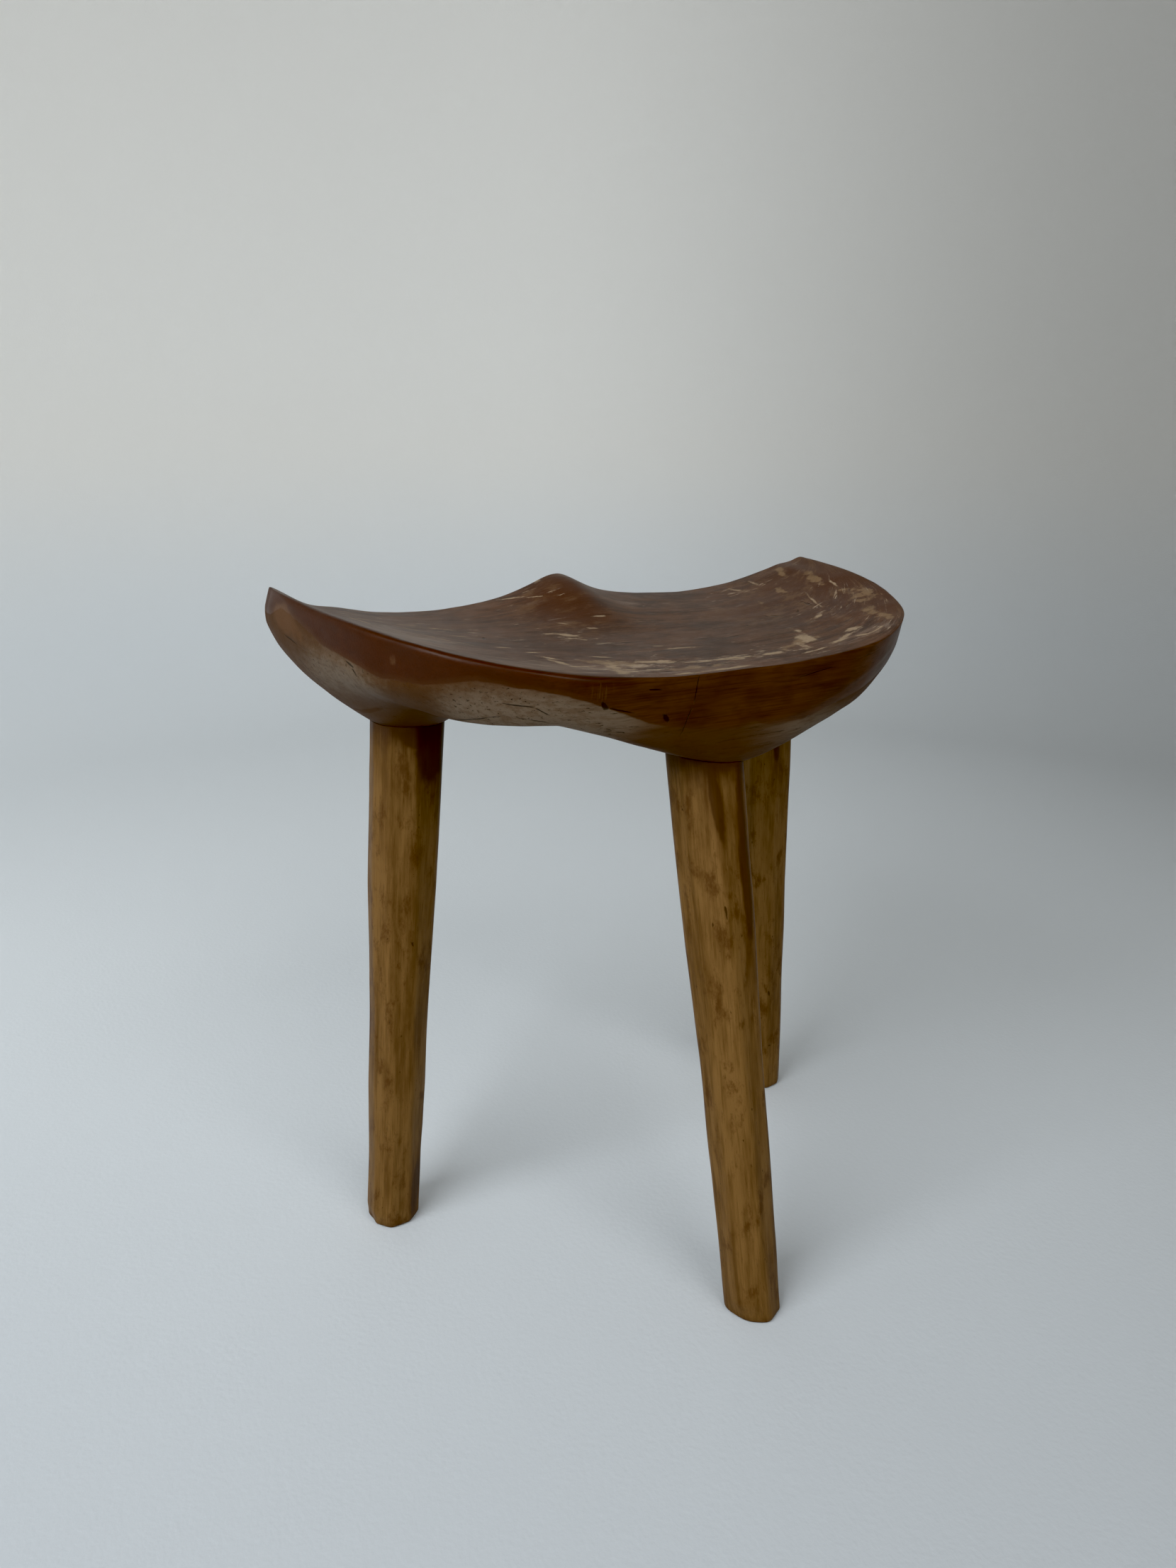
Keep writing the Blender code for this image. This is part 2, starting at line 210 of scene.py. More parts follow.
# Cracks and knots in the seat's edge and flare: x, back and z of each end, and the width, in millimetres.
EDGE_CRACKS = (
    (-30, 191, 401, -32, 190, 386, 0.7),
    (-32, 190, 386, -40, 188, 367, 0.6),
    (-193, 93, 408, -189, 98, 405, 1.3),
    (-190, 96, 407, -188, 98, 400, 1.0),
    (-153, 134, 379, -135, 167, 386, 0.7),
    (-137, 169, 393, -123, 178, 391, 0.9),
    (-123, 178, 391, -115, 180, 386, 0.7),
    (-130, 172, 385, -112, 182, 381, 0.6),
    (-89, 189, 391, -87, 189, 389, 3.0),
    (-87, 189, 389, -70, 190, 384, 0.8),
    (-51, 190, 380, -49, 190, 378, 3.2),
    (-62, 191, 396, -54, 191, 395, 0.9),
    (-207, 30, 415, -204, 43, 411, 0.9),
    (-200, 33, 401, -186, 40, 383, 0.8),
    (40, 192, 392, 70, 191, 396, 0.6),
    (84, 188, 398, 120, 180, 405, 0.5),
)


@dataclass(frozen=True)
class Streak:
    """A long thin ellipsoid around the line between two places.

    Its height runs across it through the surface: upright, or with across set to Y as level as it can.
    """

    start: Place
    end: Place
    width: float
    height: float
    across: str = "Z"

    @property
    def centre(self) -> Array:
        """Its middle."""
        return (np.array(self.start) + np.array(self.end)) / 2

    @property
    def axes(self) -> Array:
        """Its three directions, each divided by the streak's reach that way.

        Returns:
            Rows that turn a step from its middle into shares of its reach along, across and through it.
        """
        run = Vector(self.end) - Vector(self.start)
        turn = np.array(run.to_track_quat("X", self.across).to_matrix())
        reach = np.array([run.length + self.width, self.width, self.height]) / 2
        return turn.T / reach[:, None]


def smoothstep(value: Array | float) -> Array:
    """Ease from 0 to 1 with a level start and end: 3 s squared less 2 s cubed."""
    share = np.clip(value, 0.0, 1.0)
    return share * share * (3.0 - 2.0 * share)


def bell(value: Array) -> Array:
    """Give a bell that ends at plus and minus two: (1 - a quarter of the square) to the fourth power."""
    return np.clip(1.0 - value**2 / 4.0, 0.0, 1.0) ** 4


def bezier(start: Array, bend: Array, end: Array, steps: Array) -> Array:
    """Carry a quadratic curve from start to end, drawn towards bend.

    The point at t is (1 - t) squared of start, 2 t (1 - t) of bend and t squared of end.

    Args:
        start: first points, one per column.
        bend: control points.
        end: last points.
        steps: values of t.

    Returns:
        One row of points for each t.
    """
    t = np.asarray(steps)[:, None, None]
    return (1 - t) ** 2 * start + 2 * t * (1 - t) * bend + t**2 * end


def lattice_noise(points: Array, cell: Place, seed: int) -> Array:
    """Give smooth noise: random heights at the corners of a lattice, eased between them.

    Args:
        points: places, with x, y and z along the last axis.
        cell: size of a lattice cell along x, y and z.
        seed: number that starts the random draw.

    Returns:
        A height between -1 and 1 for each place.
    """
    size = 64
    heights = np.random.default_rng(seed).uniform(-1.0, 1.0, (size, size, size))
    steps = points / np.array(cell)
    low = np.floor(steps).astype(int)
    share = smoothstep(steps - low)
    total = np.zeros(points.shape[:-1])
    for corner in np.ndindex(2, 2, 2):
        weight = np.prod(np.where(corner, share, 1.0 - share), axis=-1)
        index = (low + corner) % size
        total += weight * heights[index[..., 0], index[..., 1], index[..., 2]]
    return total


@dataclass(frozen=True)
class Boss:
    """A swelling of the seat's underside where a leg joins.

    It slopes up from its flat, straight or eased at both ends, and its flat tilts along the seat.
    """

    x: float
    back: float
    fall: float
    flat: float
    spread: float
    straight: float
    tilt: float


@dataclass(frozen=True)
class SeatForm:
    """Driving sizes of the seat: those of the CAD solid, and small bends of the front edge."""

    width: float = 0.416
    depth: float = 0.193
    height: float = 0.440
    back_fall: float = 0.039
    dish_sag: float = 0.0025
    centre_back: float = 0.095
    spine_back: float = 0.080
    underside_fall: float = 0.0615
    facet_depth: float = 0.032
    flare_reach: float = 0.060
    knee_fall: float = 0.045
    pommel_rise: float = 0.0185
    pommel_left: float = 0.008
    pommel_nose: float = 0.006
    pommel_width_left: float = 0.033
    pommel_width_right: float = 0.023
    ridge_length: float = 0.095
    left_dip: float = 0.002
    left_dip_out: float = 0.125
    left_dip_width: float = 0.070
    side_joint_inset: float = 0.068
    side_joint_back: float = 0.042
    back_joint_inset: float = 0.034
    side_boss_fall: float = 0.086
    back_boss_fall: float = 0.099
    boss_tilt: float = 0.10
    side_boss_flat: float = 0.006
    side_boss_spread: float = 0.058
    back_boss_out: float = 0.010
    back_boss_flat: float = 0.014
    back_boss_spread: float = 0.105
    back_boss_straight: float = 0.9
    left_droop: float = 0.0025
    left_droop_out: float = 0.186
    left_droop_width: float = 0.014
    right_lift: float = 0.0042
    right_lift_out: float = 0.180
    right_lift_width: float = 0.058
    right_lift_end: float = 0.013

    @property
    def side_joint_out(self) -> float:
        """Distance of a side leg's joint from the middle."""
        return self.width / 2 - self.side_joint_inset

    @property
    def back_joint_back(self) -> float:
        """Distance of the back leg's joint behind the front edge."""
        return self.depth - self.back_joint_inset

    @property
    def bosses(self) -> tuple[Boss, Boss, Boss]:
        """The swellings under the seat, each at its leg's joint.

        Returns:
            The left, right and back boss.
        """
        side = (self.side_joint_back, self.side_boss_fall, self.side_boss_flat, self.side_boss_spread, 0.0)
        rear = (self.back_joint_back, self.back_boss_fall, self.back_boss_flat, self.back_boss_spread)
        return (
            Boss(-self.side_joint_out, *side, -self.boss_tilt),
            Boss(self.side_joint_out, *side, self.boss_tilt),
            Boss(self.back_boss_out, *rear, self.back_boss_straight, 0.0),
        )

    def ridge(self, x: Array, back: Array) -> Array:
        """Height of the pommel's ridge as a share of its rise.

        Across, it is a bell with a narrower right side. Along, it eases from full height at the front edge
        to nothing at ridge_length behind it.

        Args:
            x: places across.
            back: places behind the front edge.

        Returns:
            The share at each place.
        """
        across = x + self.pommel_left
        width = np.where(across > 0, self.pommel_width_right, self.pommel_width_left)
        return (1.0 - smoothstep(back / self.ridge_length)) / (1.0 + (across / width) ** 2)

    def relief(self, x: Array, back: Array) -> Array:
        """Height above the plain dish: the ridge, and bell-shaped dips and lifts of the front edge.

        Args:
            x: places across.
            back: places behind the front edge.

        Returns:
            The height at each place.
        """
        right = x - self.right_lift_out
        right_width = np.where(right < 0.0, self.right_lift_width, self.right_lift_end)
        bend = (
            self.right_lift * bell(right / right_width)
            - self.left_dip * bell((x + self.left_dip_out) / self.left_dip_width)
            - self.left_droop * bell((x + self.left_droop_out) / self.left_droop_width)
        )
        return self.pommel_rise * self.ridge(x, back) + bend * (1.0 - smoothstep(back / self.ridge_length))

    def underside(self, x: Array, back: Array) -> Array:
        """Height of the underside: a level face with three bosses that swell down from it.

        Args:
            x: places across.
            back: places behind the front edge.

        Returns:
            The lowest of the level face and the three bosses at each place.
        """
        height = np.full(np.shape(x), self.height - self.underside_fall)
        for boss in self.bosses:
            away = np.hypot(x - boss.x, back - boss.back)
            share = np.clip((away - boss.flat) / boss.spread, 0.0, 1.0)
            slope = boss.straight * share + (1.0 - boss.straight) * smoothstep(share)
            lean = boss.tilt * (x - boss.x) * (1.0 - share)
            flank = self.height - boss.fall + (boss.fall - self.underside_fall) * slope + lean
            height = np.minimum(height, flank)
        return height


@dataclass(frozen=True)
class LegForm:
    """Driving sizes of the legs and their joints: those of the CAD solids, before the legs are shaved."""

    left_splay_out: float = 0.025
    right_splay_out: float = 0.029
    side_splay_forward: float = 0.012
    back_splay: float = 0.0685
    shoulder_diameter: float = 0.048
    foot_diameter: float = 0.0375
    tenon_diameter: float = 0.028
    tenon_length: float = 0.026
    tenon_chamfer: float = 0.002
    joint_gap: float = 0.0003
    overrun: float = 0.020
    fatness_reach: float = 0.03

    def radius(self, height_share: Array) -> Array:
        """Radius of the shank, read from the table of fatness at three places close together.

        Args:
            height_share: share of the way from the foot to the shoulder.

        Returns:
            The mean of the three radii.
        """
        heights, shares = np.array(FATNESS_SHARES).T
        steps = (-self.fatness_reach, 0.0, self.fatness_reach)
        share = np.mean([np.interp(height_share + step, heights, shares) for step in steps], axis=0)
        return (self.foot_diameter + (self.shoulder_diameter - self.foot_diameter) * share) / 2


SEAT_FORM = SeatForm()
LEG_FORM = LegForm()

# The stool stands with its box centred on the origin, from the pommel's nose to the back foot's outer edge.
BACK_REACH = SEAT_FORM.back_joint_back + LEG_FORM.back_splay + LEG_FORM.foot_diameter / 2
FRONT_EDGE_Y = (BACK_REACH - SEAT_FORM.pommel_nose) / 2


def to_frame(places: Array) -> Array:
    """Turn places (x, back, z) of the seat's plan into points of the frame."""
    return np.stack([places[..., 0], FRONT_EDGE_Y - places[..., 1], places[..., 2]], axis=-1)


def make_mesh(name: str, points: Array, faces: list) -> bpy.types.Object:
    """Make a smooth-shaded mesh object and link it to the scene.

    Args:
        name: name of the object and its mesh.
        points: places of the vertices.
        faces: vertex numbers of each face.

    Returns:
        The new object.
    """
    data = bpy.data.meshes.new(name)
    data.from_pydata(points.tolist(), [], faces)
    data.shade_smooth()
    item = bpy.data.objects.new(name, data)
    bpy.context.scene.collection.objects.link(item)
    return item


def grid_faces(rows: int, columns: int) -> list:
    """List the faces of closed rings of points, with a pole before the first ring and one after the last.

    Vertex 0 is the first pole, the rings follow row by row, and the last vertex is the other pole.

    Args:
        rows: number of rings.
        columns: number of points in a ring.

    Returns:
        Quads between the rings and a fan of triangles at each pole, all turned the same way.
    """
    near = np.arange(columns)
    far = np.roll(near, -1)
    start = 1 + np.arange(rows)[:, None] * columns
    upper, lower = start[:-1], start[1:]
    quads = np.stack([upper + near, lower + near, lower + far, upper + far], axis=-1).reshape(-1, 4)
    first = np.stack([np.zeros_like(near), 1 + near, 1 + far], axis=-1)
    last_ring = 1 + (rows - 1) * columns
    last = np.stack([np.full(columns, 1 + rows * columns), last_ring + far, last_ring + near], axis=-1)
    return quads.tolist() + first.tolist() + last.tolist()


def face_corners(data: bpy.types.Mesh) -> NDArray[np.int32]:
    """Look up the vertex of every face corner.

    Args:
        data: the mesh.

    Returns:
        A vertex number for each corner, face by face.
    """
    corners = np.empty(len(data.loops), dtype=np.int32)
    data.loops.foreach_get("vertex_index", corners)
    return corners


def set_corners(data: bpy.types.Mesh, name: str, values: Array) -> None:
    """Store three numbers on every face corner as the named attribute, which a cut face keeps."""
    layer = data.attributes.new(name, "FLOAT_VECTOR", "CORNER")
    layer.data.foreach_set("vector", values.astype(np.float32).ravel())


def set_streaks(data: bpy.types.Mesh, name: str, places: Array, streaks: Sequence[Streak]) -> None:
    """Store on every face corner where it lies in a streak, in shares of the streak's reach.

    A place inside the streak has shares whose length is below 1. Each face takes the streak that is nearest
    to its middle, so the shares run evenly over the face however thin the streak is.

    Args:
        data: the mesh.
        name: name of the attribute.
        places: places of the vertices, in the same coordinates as the streaks.
        streaks: the streaks.
    """
    corners = face_corners(data)
    first = np.empty(len(data.polygons), dtype=np.int32)
    data.polygons.foreach_get("loop_start", first)
    sides = np.diff(np.append(first, len(corners)))
    points = places[corners]
    middles = np.add.reduceat(points, first) / sides[:, None]
    nearest = np.full(len(first), np.inf)
    shares = np.zeros(points.shape)
    for streak in streaks:
        away = np.linalg.norm((middles - streak.centre) @ streak.axes.T, axis=1)
        nearer = away < nearest
        nearest = np.minimum(nearest, away)
        here = np.repeat(nearer, sides)
        shares[here] = (points[here] - streak.centre) @ streak.axes.T
    set_corners(data, name, shares)


class Band(Enum):
    """Bands of the seat's surface, in the order in which a meridian crosses them, with their rows."""

    TOP = 104
    RIM = 9
    FACET = 18
    CREASE = 6
    FLARE = 26
    EDGE = 5
    UNDER = 22


class Tone(Enum):
    """Broad changes of tone on the seat."""

    WARM = "warm"
    # Pale: worn haze, and in part a painted sheen.
    PALE = "pale"
    DARK = "dark"
    TAN = "tan"
    GREY = "grey"
    FLECKED = "flecked"


# Soft patches of tone: x, back and z of the middle, and the reach along each, in millimetres, and the
# strength.
TONE_PATCHES = {
    Tone.WARM: (
        (-30, 45, 430, 28, 36, 50, 1.0),
        (-12, 12, 436, 22, 20, 50, 0.8),
        (185, 40, 436, 22, 50, 50, 0.8),
        (175, 130, 425, 24, 30, 50, 0.7),
        (130, 80, 425, 70, 90, 50, 0.65),
    ),
    # Pale: the left wing's top patch and the patch right of the pommel's crest are a painted sheen; the
    # bands along the back rim are worn haze.
    Tone.PALE: (
        (-165, 105, 425, 40, 40, 50, 1.0),
        (-110, 165, 410, 50, 18, 30, 0.9),
        (-20, 180, 405, 60, 12, 30, 0.6),
        (110, 168, 410, 45, 12, 30, 0.7),
        (28, 32, 425, 16, 14, 50, 0.7),
    ),
    Tone.DARK: (
        (-55, 95, 410, 50, 26, 50, 0.8),
        (5, 145, 405, 60, 14, 50, 0.8),
        (60, 100, 410, 50, 30, 50, 0.5),
        (-125, 45, 425, 45, 18, 50, 0.5),
    ),
    Tone.TAN: (
        (-206, 28, 426, 10, 16, 10, 0.8),
        (-200, 48, 416, 12, 22, 10, 0.5),
        (-178, 126, 412, 4, 5, 7, 0.55),
    ),
    Tone.GREY: (
        (-106, 178, 384, 56, 26, 18, 1.0),
        (-148, 152, 388, 17, 20, 14, 0.75),
        (-192, 75, 396, 20, 46, 20, 0.8),
        (58, 185, 360, 44, 20, 14, 0.65),
        (180, 120, 385, 40, 50, 20, 0.35),
    ),
    Tone.FLECKED: (
        (-90, 190, 398, 7, 10, 6, 1.0),
        (30, 168, 400, 100, 14, 50, 1.0),
        (-75, 165, 400, 45, 16, 50, 0.8),
        (150, 125, 420, 30, 35, 50, 0.6),
        (175, 60, 430, 20, 40, 50, 0.3),
        (-50, 88, 410, 25, 14, 50, 0.9),
        (-125, 85, 420, 45, 30, 50, 0.6),
        (-165, 50, 425, 30, 30, 50, 0.6),
        (125, 25, 430, 30, 14, 50, 0.7),
        (-50, 12, 420, 30, 10, 50, 0.2),
    ),
}


@dataclass
class CarvedSeat:
    """The seat: a carved plank with a dished top, a pommel, a faceted edge and three bosses."""

    form: SeatForm
    columns: int = 480
    outline_steps: int = 40
    edge_round: float = 0.0018
    worn_round: float = 0.0065
    worn_out: float = 0.050
    worn_out_span: float = 0.045
    worn_back: float = 0.020
    worn_back_span: float = 0.030
    rim_unevenness: float = 0.0004
    rim_ripples: tuple[float, float] = (0.009, 0.023)
    crease_round: float = 0.004
    bottom_round: float = 0.004
    flare_span: tuple[float, float] = (0.10, 0.95)
    tip_out: float = 0.185
    tip_out_span: float = 0.018
    tip_height: float = 0.420
    tip_height_span: float = 0.012
    tip_relief: float = 0.6
    blur_rows: int = 4
    line_back: float = 0.010
    line_back_span: float = 0.020
    well_above: float = 0.1
    streak_height_mm: float = 1000.0
    split_depth_mm: float = 10.0
    rim_x: Array = field(init=False)
    rim_back: Array = field(init=False)
    rim_z: Array = field(init=False)
    crown_z: Array = field(init=False)
    inward: Array = field(init=False)
    crease: Array = field(init=False)
    knee: Array = field(init=False)
    foot_plan: tuple[Array, Array] = field(init=False)
    points: Array = field(init=False)

    def __post_init__(self) -> None:
        """Work out the outline and the surface."""
        form = self.form
        x, back, fall, crease_in, crease_fall, knee_in, knee_fall, foot_in = self.outline_table().T
        self.rim_x = x * form.width / 2
        self.rim_back = back * form.depth
        self.rim_z = form.height - fall * form.back_fall
        self.crown_z = self.rim_z + form.relief(self.rim_x, self.rim_back)
        spine_x = self.rim_x * (1.0 - form.spine_back / form.depth)
        inward = np.stack([spine_x - self.rim_x, form.spine_back - self.rim_back])
        self.inward = inward / np.linalg.norm(inward, axis=0)
        self.crease = self.below_rim(crease_in * form.flare_reach, crease_fall * form.facet_depth)
        self.knee = self.below_rim(knee_in * form.flare_reach, knee_fall * form.knee_fall)
        self.foot_plan = self.inset(foot_in * form.flare_reach)
        self.points = self.carve(self.meridians())

    def outline_table(self) -> Array:
        """Read the outline table at evenly spread columns.

        A smooth closed curve runs through the stations, for every column of the table at once. The slope
        at a station is the mean of the slopes to its two neighbours, each weighed by the length of the
        other span, and a cubic joins each pair of stations. The columns are spread by the mean of the
        curve's length and the count of stations, so that the corners get more of them.

        Returns:
            One row of shares for each column of the grid.
        """
        half = np.array(OUTLINE_SHARES)
        other_half = half[-2:0:-1] * np.array([-1.0] + [1.0] * (half.shape[1] - 1))
        stations = np.vstack([half, other_half])
        following = np.roll(stations, -1, axis=0)
        sizes = np.array([self.form.width / 2, self.form.depth])
        spans = np.linalg.norm((following - stations)[:, :2] * sizes, axis=1)[:, None]
        slopes = (following - stations) / spans
        before = np.roll(slopes, 1, axis=0)
        span_before = np.roll(spans, 1, axis=0)
        tangents = (before * spans + slopes * span_before) / (spans + span_before)

        def read(places: Array) -> Array:
            """Read the curve.

            Args:
                places: counts of stations from the first one.

            Returns:
                A row of shares for each place.
            """
            span = np.floor(places).astype(int)
            t = (places - span)[:, None]
            span %= len(stations)
            return (
                (2 * t**3 - 3 * t**2 + 1) * stations[span]
                + (t**3 - 2 * t**2 + t) * spans[span] * tangents[span]
                + (3 * t**2 - 2 * t**3) * following[span]
                + (t**3 - t**2) * spans[span] * np.roll(tangents, -1, axis=0)[span]
            )

        places = np.linspace(0.0, len(stations), self.outline_steps * len(stations) + 1)
        steps = np.linalg.norm(np.diff(read(places)[:, :2] * sizes, axis=0), axis=1)
        length = np.append(0.0, np.cumsum(steps))
        measure = length / length[-1] + places / len(stations)
        wanted = np.arange(self.columns) * measure[-1] / self.columns
        return read(np.interp(wanted, measure, places))

    def inset(self, distance: Array | float) -> tuple[Array, Array]:
        """Give x and back of the rim moved inward by a distance."""
        return self.rim_x + self.inward[0] * distance, self.rim_back + self.inward[1] * distance

    def below_rim(self, distance: Array, fall: Array) -> Array:
        """Give the places that lie inward from the rim by a distance, and below it by a fall."""
        return np.stack([*self.inset(distance), self.rim_z - fall], axis=-1)

    def at_rim(self, x: Array, values: Array) -> tuple[Array, Array]:
        """Read values of the rim in front of places across, and behind them.

        Args:
            x: places across.
            values: a value for each column.

        Returns:
            The values on the front edge, and those on the back.
        """
        tip = int(np.argmax(self.rim_x))
        rear = slice(self.columns // 2, tip - 1, -1)
        out = np.abs(x)
        front = np.interp(out, self.rim_x[: tip + 1], values[: tip + 1])
        return front, np.interp(out, self.rim_x[rear], values[rear])

    def depth_share(self, x: Array, back: Array) -> tuple[Array, Array]:
        """Say how far back a place lies between the front edge and the back rim.

        Args:
            x: places across.
            back: places behind the front edge.

        Returns:
            The share of the way back, and the whole way's length.
        """
        start, end = self.at_rim(x, self.rim_back)
        length = end - start
        return np.clip((back - start) / np.maximum(length, LEG_FORM.joint_gap), 0.0, 1.0), length

    def top(self, x: Array, back: Array) -> Array:
        """Give points of the dished top.

        At each distance out from the middle, a straight rule runs from the front edge back to the rim. The
        dish sags below it by a parabola, which fades out towards the wing tips. The ridge stands on it, and
        carries the points forward by the pommel's nose.

        Args:
            x: places across.
            back: places behind the front edge.

        Returns:
            Their places (x, back, z) on the top.
        """
        share, _ = self.depth_share(x, back)
        near, far = self.at_rim(x, self.rim_z)
        sag = self.form.dish_sag * 4 * share * (1 - share) * (1 - (np.abs(x) / self.rim_x.max()) ** 2)
        z = near + (far - near) * share - sag + self.form.relief(x, back)
        return np.stack([x, back - self.form.pommel_nose * self.form.ridge(x, back), z], axis=-1)

    def rim_rounding(self) -> Array:
        """Round the rim: worn soft at the left back and crisp elsewhere, with two slow ripples.

        Returns:
            Reach of the rounding in each column.
        """
        left = smoothstep((-self.worn_out - self.rim_x) / self.worn_out_span)
        left *= smoothstep((self.rim_back - self.worn_back) / self.worn_back_span)
        short, long = self.rim_ripples
        uneven = self.rim_unevenness * np.sin(self.rim_x / short) * np.sin(self.rim_x / long + 1.0)
        return self.edge_round + (self.worn_round - self.edge_round) * left + uneven

    def meridians(self) -> Array:
        """Lay out the seat's surface, before it is carved.

        Each column runs from the middle of the top over the rim, down the facet and over the crease, under
        along the flare and round the bottom edge, to the middle of the underside. The rim, crease and
        bottom edge are quadratic curves that leave and meet the faces beside them in line. The flare is a
        quadratic curve from the crease over its knee to the bottom edge.

        Returns:
            Rows of places (x, back, z), with a pole's place all along the first and last rows.
        """
        form = self.form
        rounding = self.rim_rounding()
        edge_x, edge_back = self.inset(rounding)
        crease = self.crease
        foot_x, foot_back = self.foot_plan

        def steps(band: Band) -> Array:
            """Give the shares of a band's way at its rows."""
            return np.arange(1, band.value + 1) / band.value

        spread = np.append(0.0, steps(Band.TOP))[:, None]
        top = self.top(edge_x * spread, form.centre_back + (edge_back - form.centre_back) * spread)

        nose = form.pommel_nose * form.ridge(self.rim_x, self.rim_back)
        crown = np.stack([self.rim_x, self.rim_back - nose, self.crown_z], axis=-1)
        foot = np.stack([foot_x, foot_back, form.underside(foot_x, foot_back)], axis=-1)

        facet_length = np.linalg.norm(crease - crown, axis=-1)
        facet_start = crown + (crease - crown) * (rounding / facet_length)[:, None]
        soft = np.minimum(self.crease_round, facet_length / 3)
        facet_end = crease + (crown - crease) * (soft / facet_length)[:, None]
        rim = bezier(top[-1], crown, facet_start, steps(Band.RIM))
        facet = facet_start + (facet_end - facet_start) * steps(Band.FACET)[:, None, None]

        first, last = self.flare_span
        flare = bezier(crease, self.knee, foot, first + (last - first) * steps(Band.FLARE))
        flare_start = bezier(crease, self.knee, foot, np.array([first]))[0]
        bend = bezier(facet_end, crease, flare_start, steps(Band.CREASE))

        to_middle = np.hypot(foot_x, foot_back - form.centre_back)
        under_from = 1.0 - self.bottom_round / to_middle
        shares = under_from * (1.0 - np.append(0.0, steps(Band.UNDER)))[:, None]
        under_x = foot_x * shares
        under_back = form.centre_back + (foot_back - form.centre_back) * shares
        under = np.stack([under_x, under_back, form.underside(under_x, under_back)], axis=-1)
        edge = bezier(flare[-1], foot, under[0], steps(Band.EDGE))
        return np.concatenate([top, rim, facet, bend, flare, edge, under[1:]])

    def normals(self, points: Array) -> Array:
        """Give outward unit normals: the cross product of the grid's two slopes.

        Args:
            points: rows of places.

        Returns:
            A normal for each place.
        """
        along = np.roll(points, -1, axis=1) - np.roll(points, 1, axis=1)
        down = np.gradient(points, axis=0)
        normals = np.cross(down, along)
        return normals / np.maximum(np.linalg.norm(normals, axis=-1, keepdims=True), TINY)

    def rows_from(self, first: Band) -> NDArray[np.bool_]:
        """Choose the rows from a band on. The top's first row is the pole.

        Args:
            first: the first band that is chosen.

        Returns:
            A column that is true in the chosen rows.
        """
        bands = list(Band)
        numbers = np.repeat(np.arange(len(bands)), [band.value for band in bands])
        return (np.append(0, numbers) >= bands.index(first))[:, None]

    def carve(self, points: Array) -> Array:
        """Sink the surface by the uneven strokes of hand carving.

        Long shallow strokes run along the seat on the top, short ones on the edge, and deeper gouges cross
        the underside. Each is lattice noise, kept below the plain surface. The wing tips are cut less.

        Args:
            points: the plain surface.

        Returns:
            The carved surface, with its two poles kept as single points.
        """
        top = ~self.rows_from(Band.RIM)
        under = self.rows_from(Band.FLARE)
        strokes = (
            (0.00022, (0.060, 0.016, 0.030), 11, top),
            (0.00010, (0.022, 0.007, 0.010), 12, top),
            (0.00024, (0.028, 0.024, 0.011), 13, ~top & ~under),
            (0.00034, (0.020, 0.018, 0.010), 14, under),
            (0.00014, (0.009, 0.009, 0.005), 15, ~top),
        )
        depth = np.zeros(points.shape[:-1])
        for size, cell, seed, where in strokes:
            blend = self.eased_rows(where)
            depth += blend * size * (1.0 + lattice_noise(points, cell, seed))
        tips = smoothstep((np.abs(points[..., 0]) - self.tip_out) / self.tip_out_span)
        tips *= smoothstep((points[..., 2] - self.tip_height) / self.tip_height_span)
        depth *= 1.0 - self.tip_relief * tips
        carved = points - self.normals(points) * depth[..., None]
        carved[0] = carved[1].mean(axis=0)
        carved[-1] = carved[-2].mean(axis=0)
        return carved

    def eased_rows(self, rows: NDArray[np.bool_]) -> Array:
        """Blur the step between chosen rows and the others, by repeated means of neighbouring rows.

        Args:
            rows: a column that is true in the chosen rows.

        Returns:
            A share from 0 to 1 for every point of the grid.
        """
        values = np.repeat(rows.astype(float), self.columns, axis=1)
        for _ in range(self.blur_rows):
            padded = np.concatenate([values[:1], values, values[-1:]])
            values = (padded[:-2] + 2 * padded[1:-1] + padded[2:]) / 4
        return values

    def fields(self) -> dict[str, Array]:
        """Work out what the finish reads at each place.

        edge_fields holds the distance inward from the rim (below zero on the side) and the height above
        the lacquer's lower line. sweep holds a place measured along the seat and across the sweep of the
        rim, so that worn streaks bend with the wings. The tones' fields hold three tones each.

        Returns:
            Three numbers for each point of the grid, by the name of their attribute.
        """
        points = self.points
        x, back, z = np.moveaxis(points, -1, 0)
        on_top = ~self.rows_from(Band.RIM)
        rim_place = np.stack([self.rim_x, self.rim_back], axis=-1)
        across = np.linalg.norm(points[..., :2] - rim_place, axis=-1)
        inside = np.where(on_top, across, z - self.crown_z)
        rear = smoothstep((self.rim_back - self.line_back) / self.line_back_span)
        crease_z = self.crease[:, 2]
        line_x, line_z = np.array(LACQUER_LINE).T
        line = z - (crease_z + (np.interp(self.rim_x, line_x, line_z) - crease_z) * rear)
        above = np.where(on_top, self.well_above, line)
        share, length = self.depth_share(x, back)
        return {
            "edge_fields": np.stack([inside, above, np.zeros(x.shape)], axis=-1),
            "sweep": np.stack([x, share * length.max(), z], axis=-1),
            "tones_top": self.tones(Tone.WARM, Tone.PALE, Tone.DARK),
            "tones_edge": self.tones(Tone.TAN, Tone.GREY, Tone.FLECKED),
        }

    def tones(self, *tones: Tone) -> Array:
        """Add up each tone's patches at every place: bells around their middles.

        Args:
            tones: the tones, in the order of the numbers that they give.

        Returns:
            A sum for each tone, for every point of the grid.
        """
        sums = []
        for tone in tones:
            total = 0.0
            for *measures, strength in TONE_PATCHES[tone]:
                centre, reach = np.array(measures).reshape(2, 3) * MM
                total = total + strength * np.exp(-np.sum(((self.points - centre) / reach) ** 2, axis=-1))
            sums.append(total)
        return np.stack(sums, axis=-1)

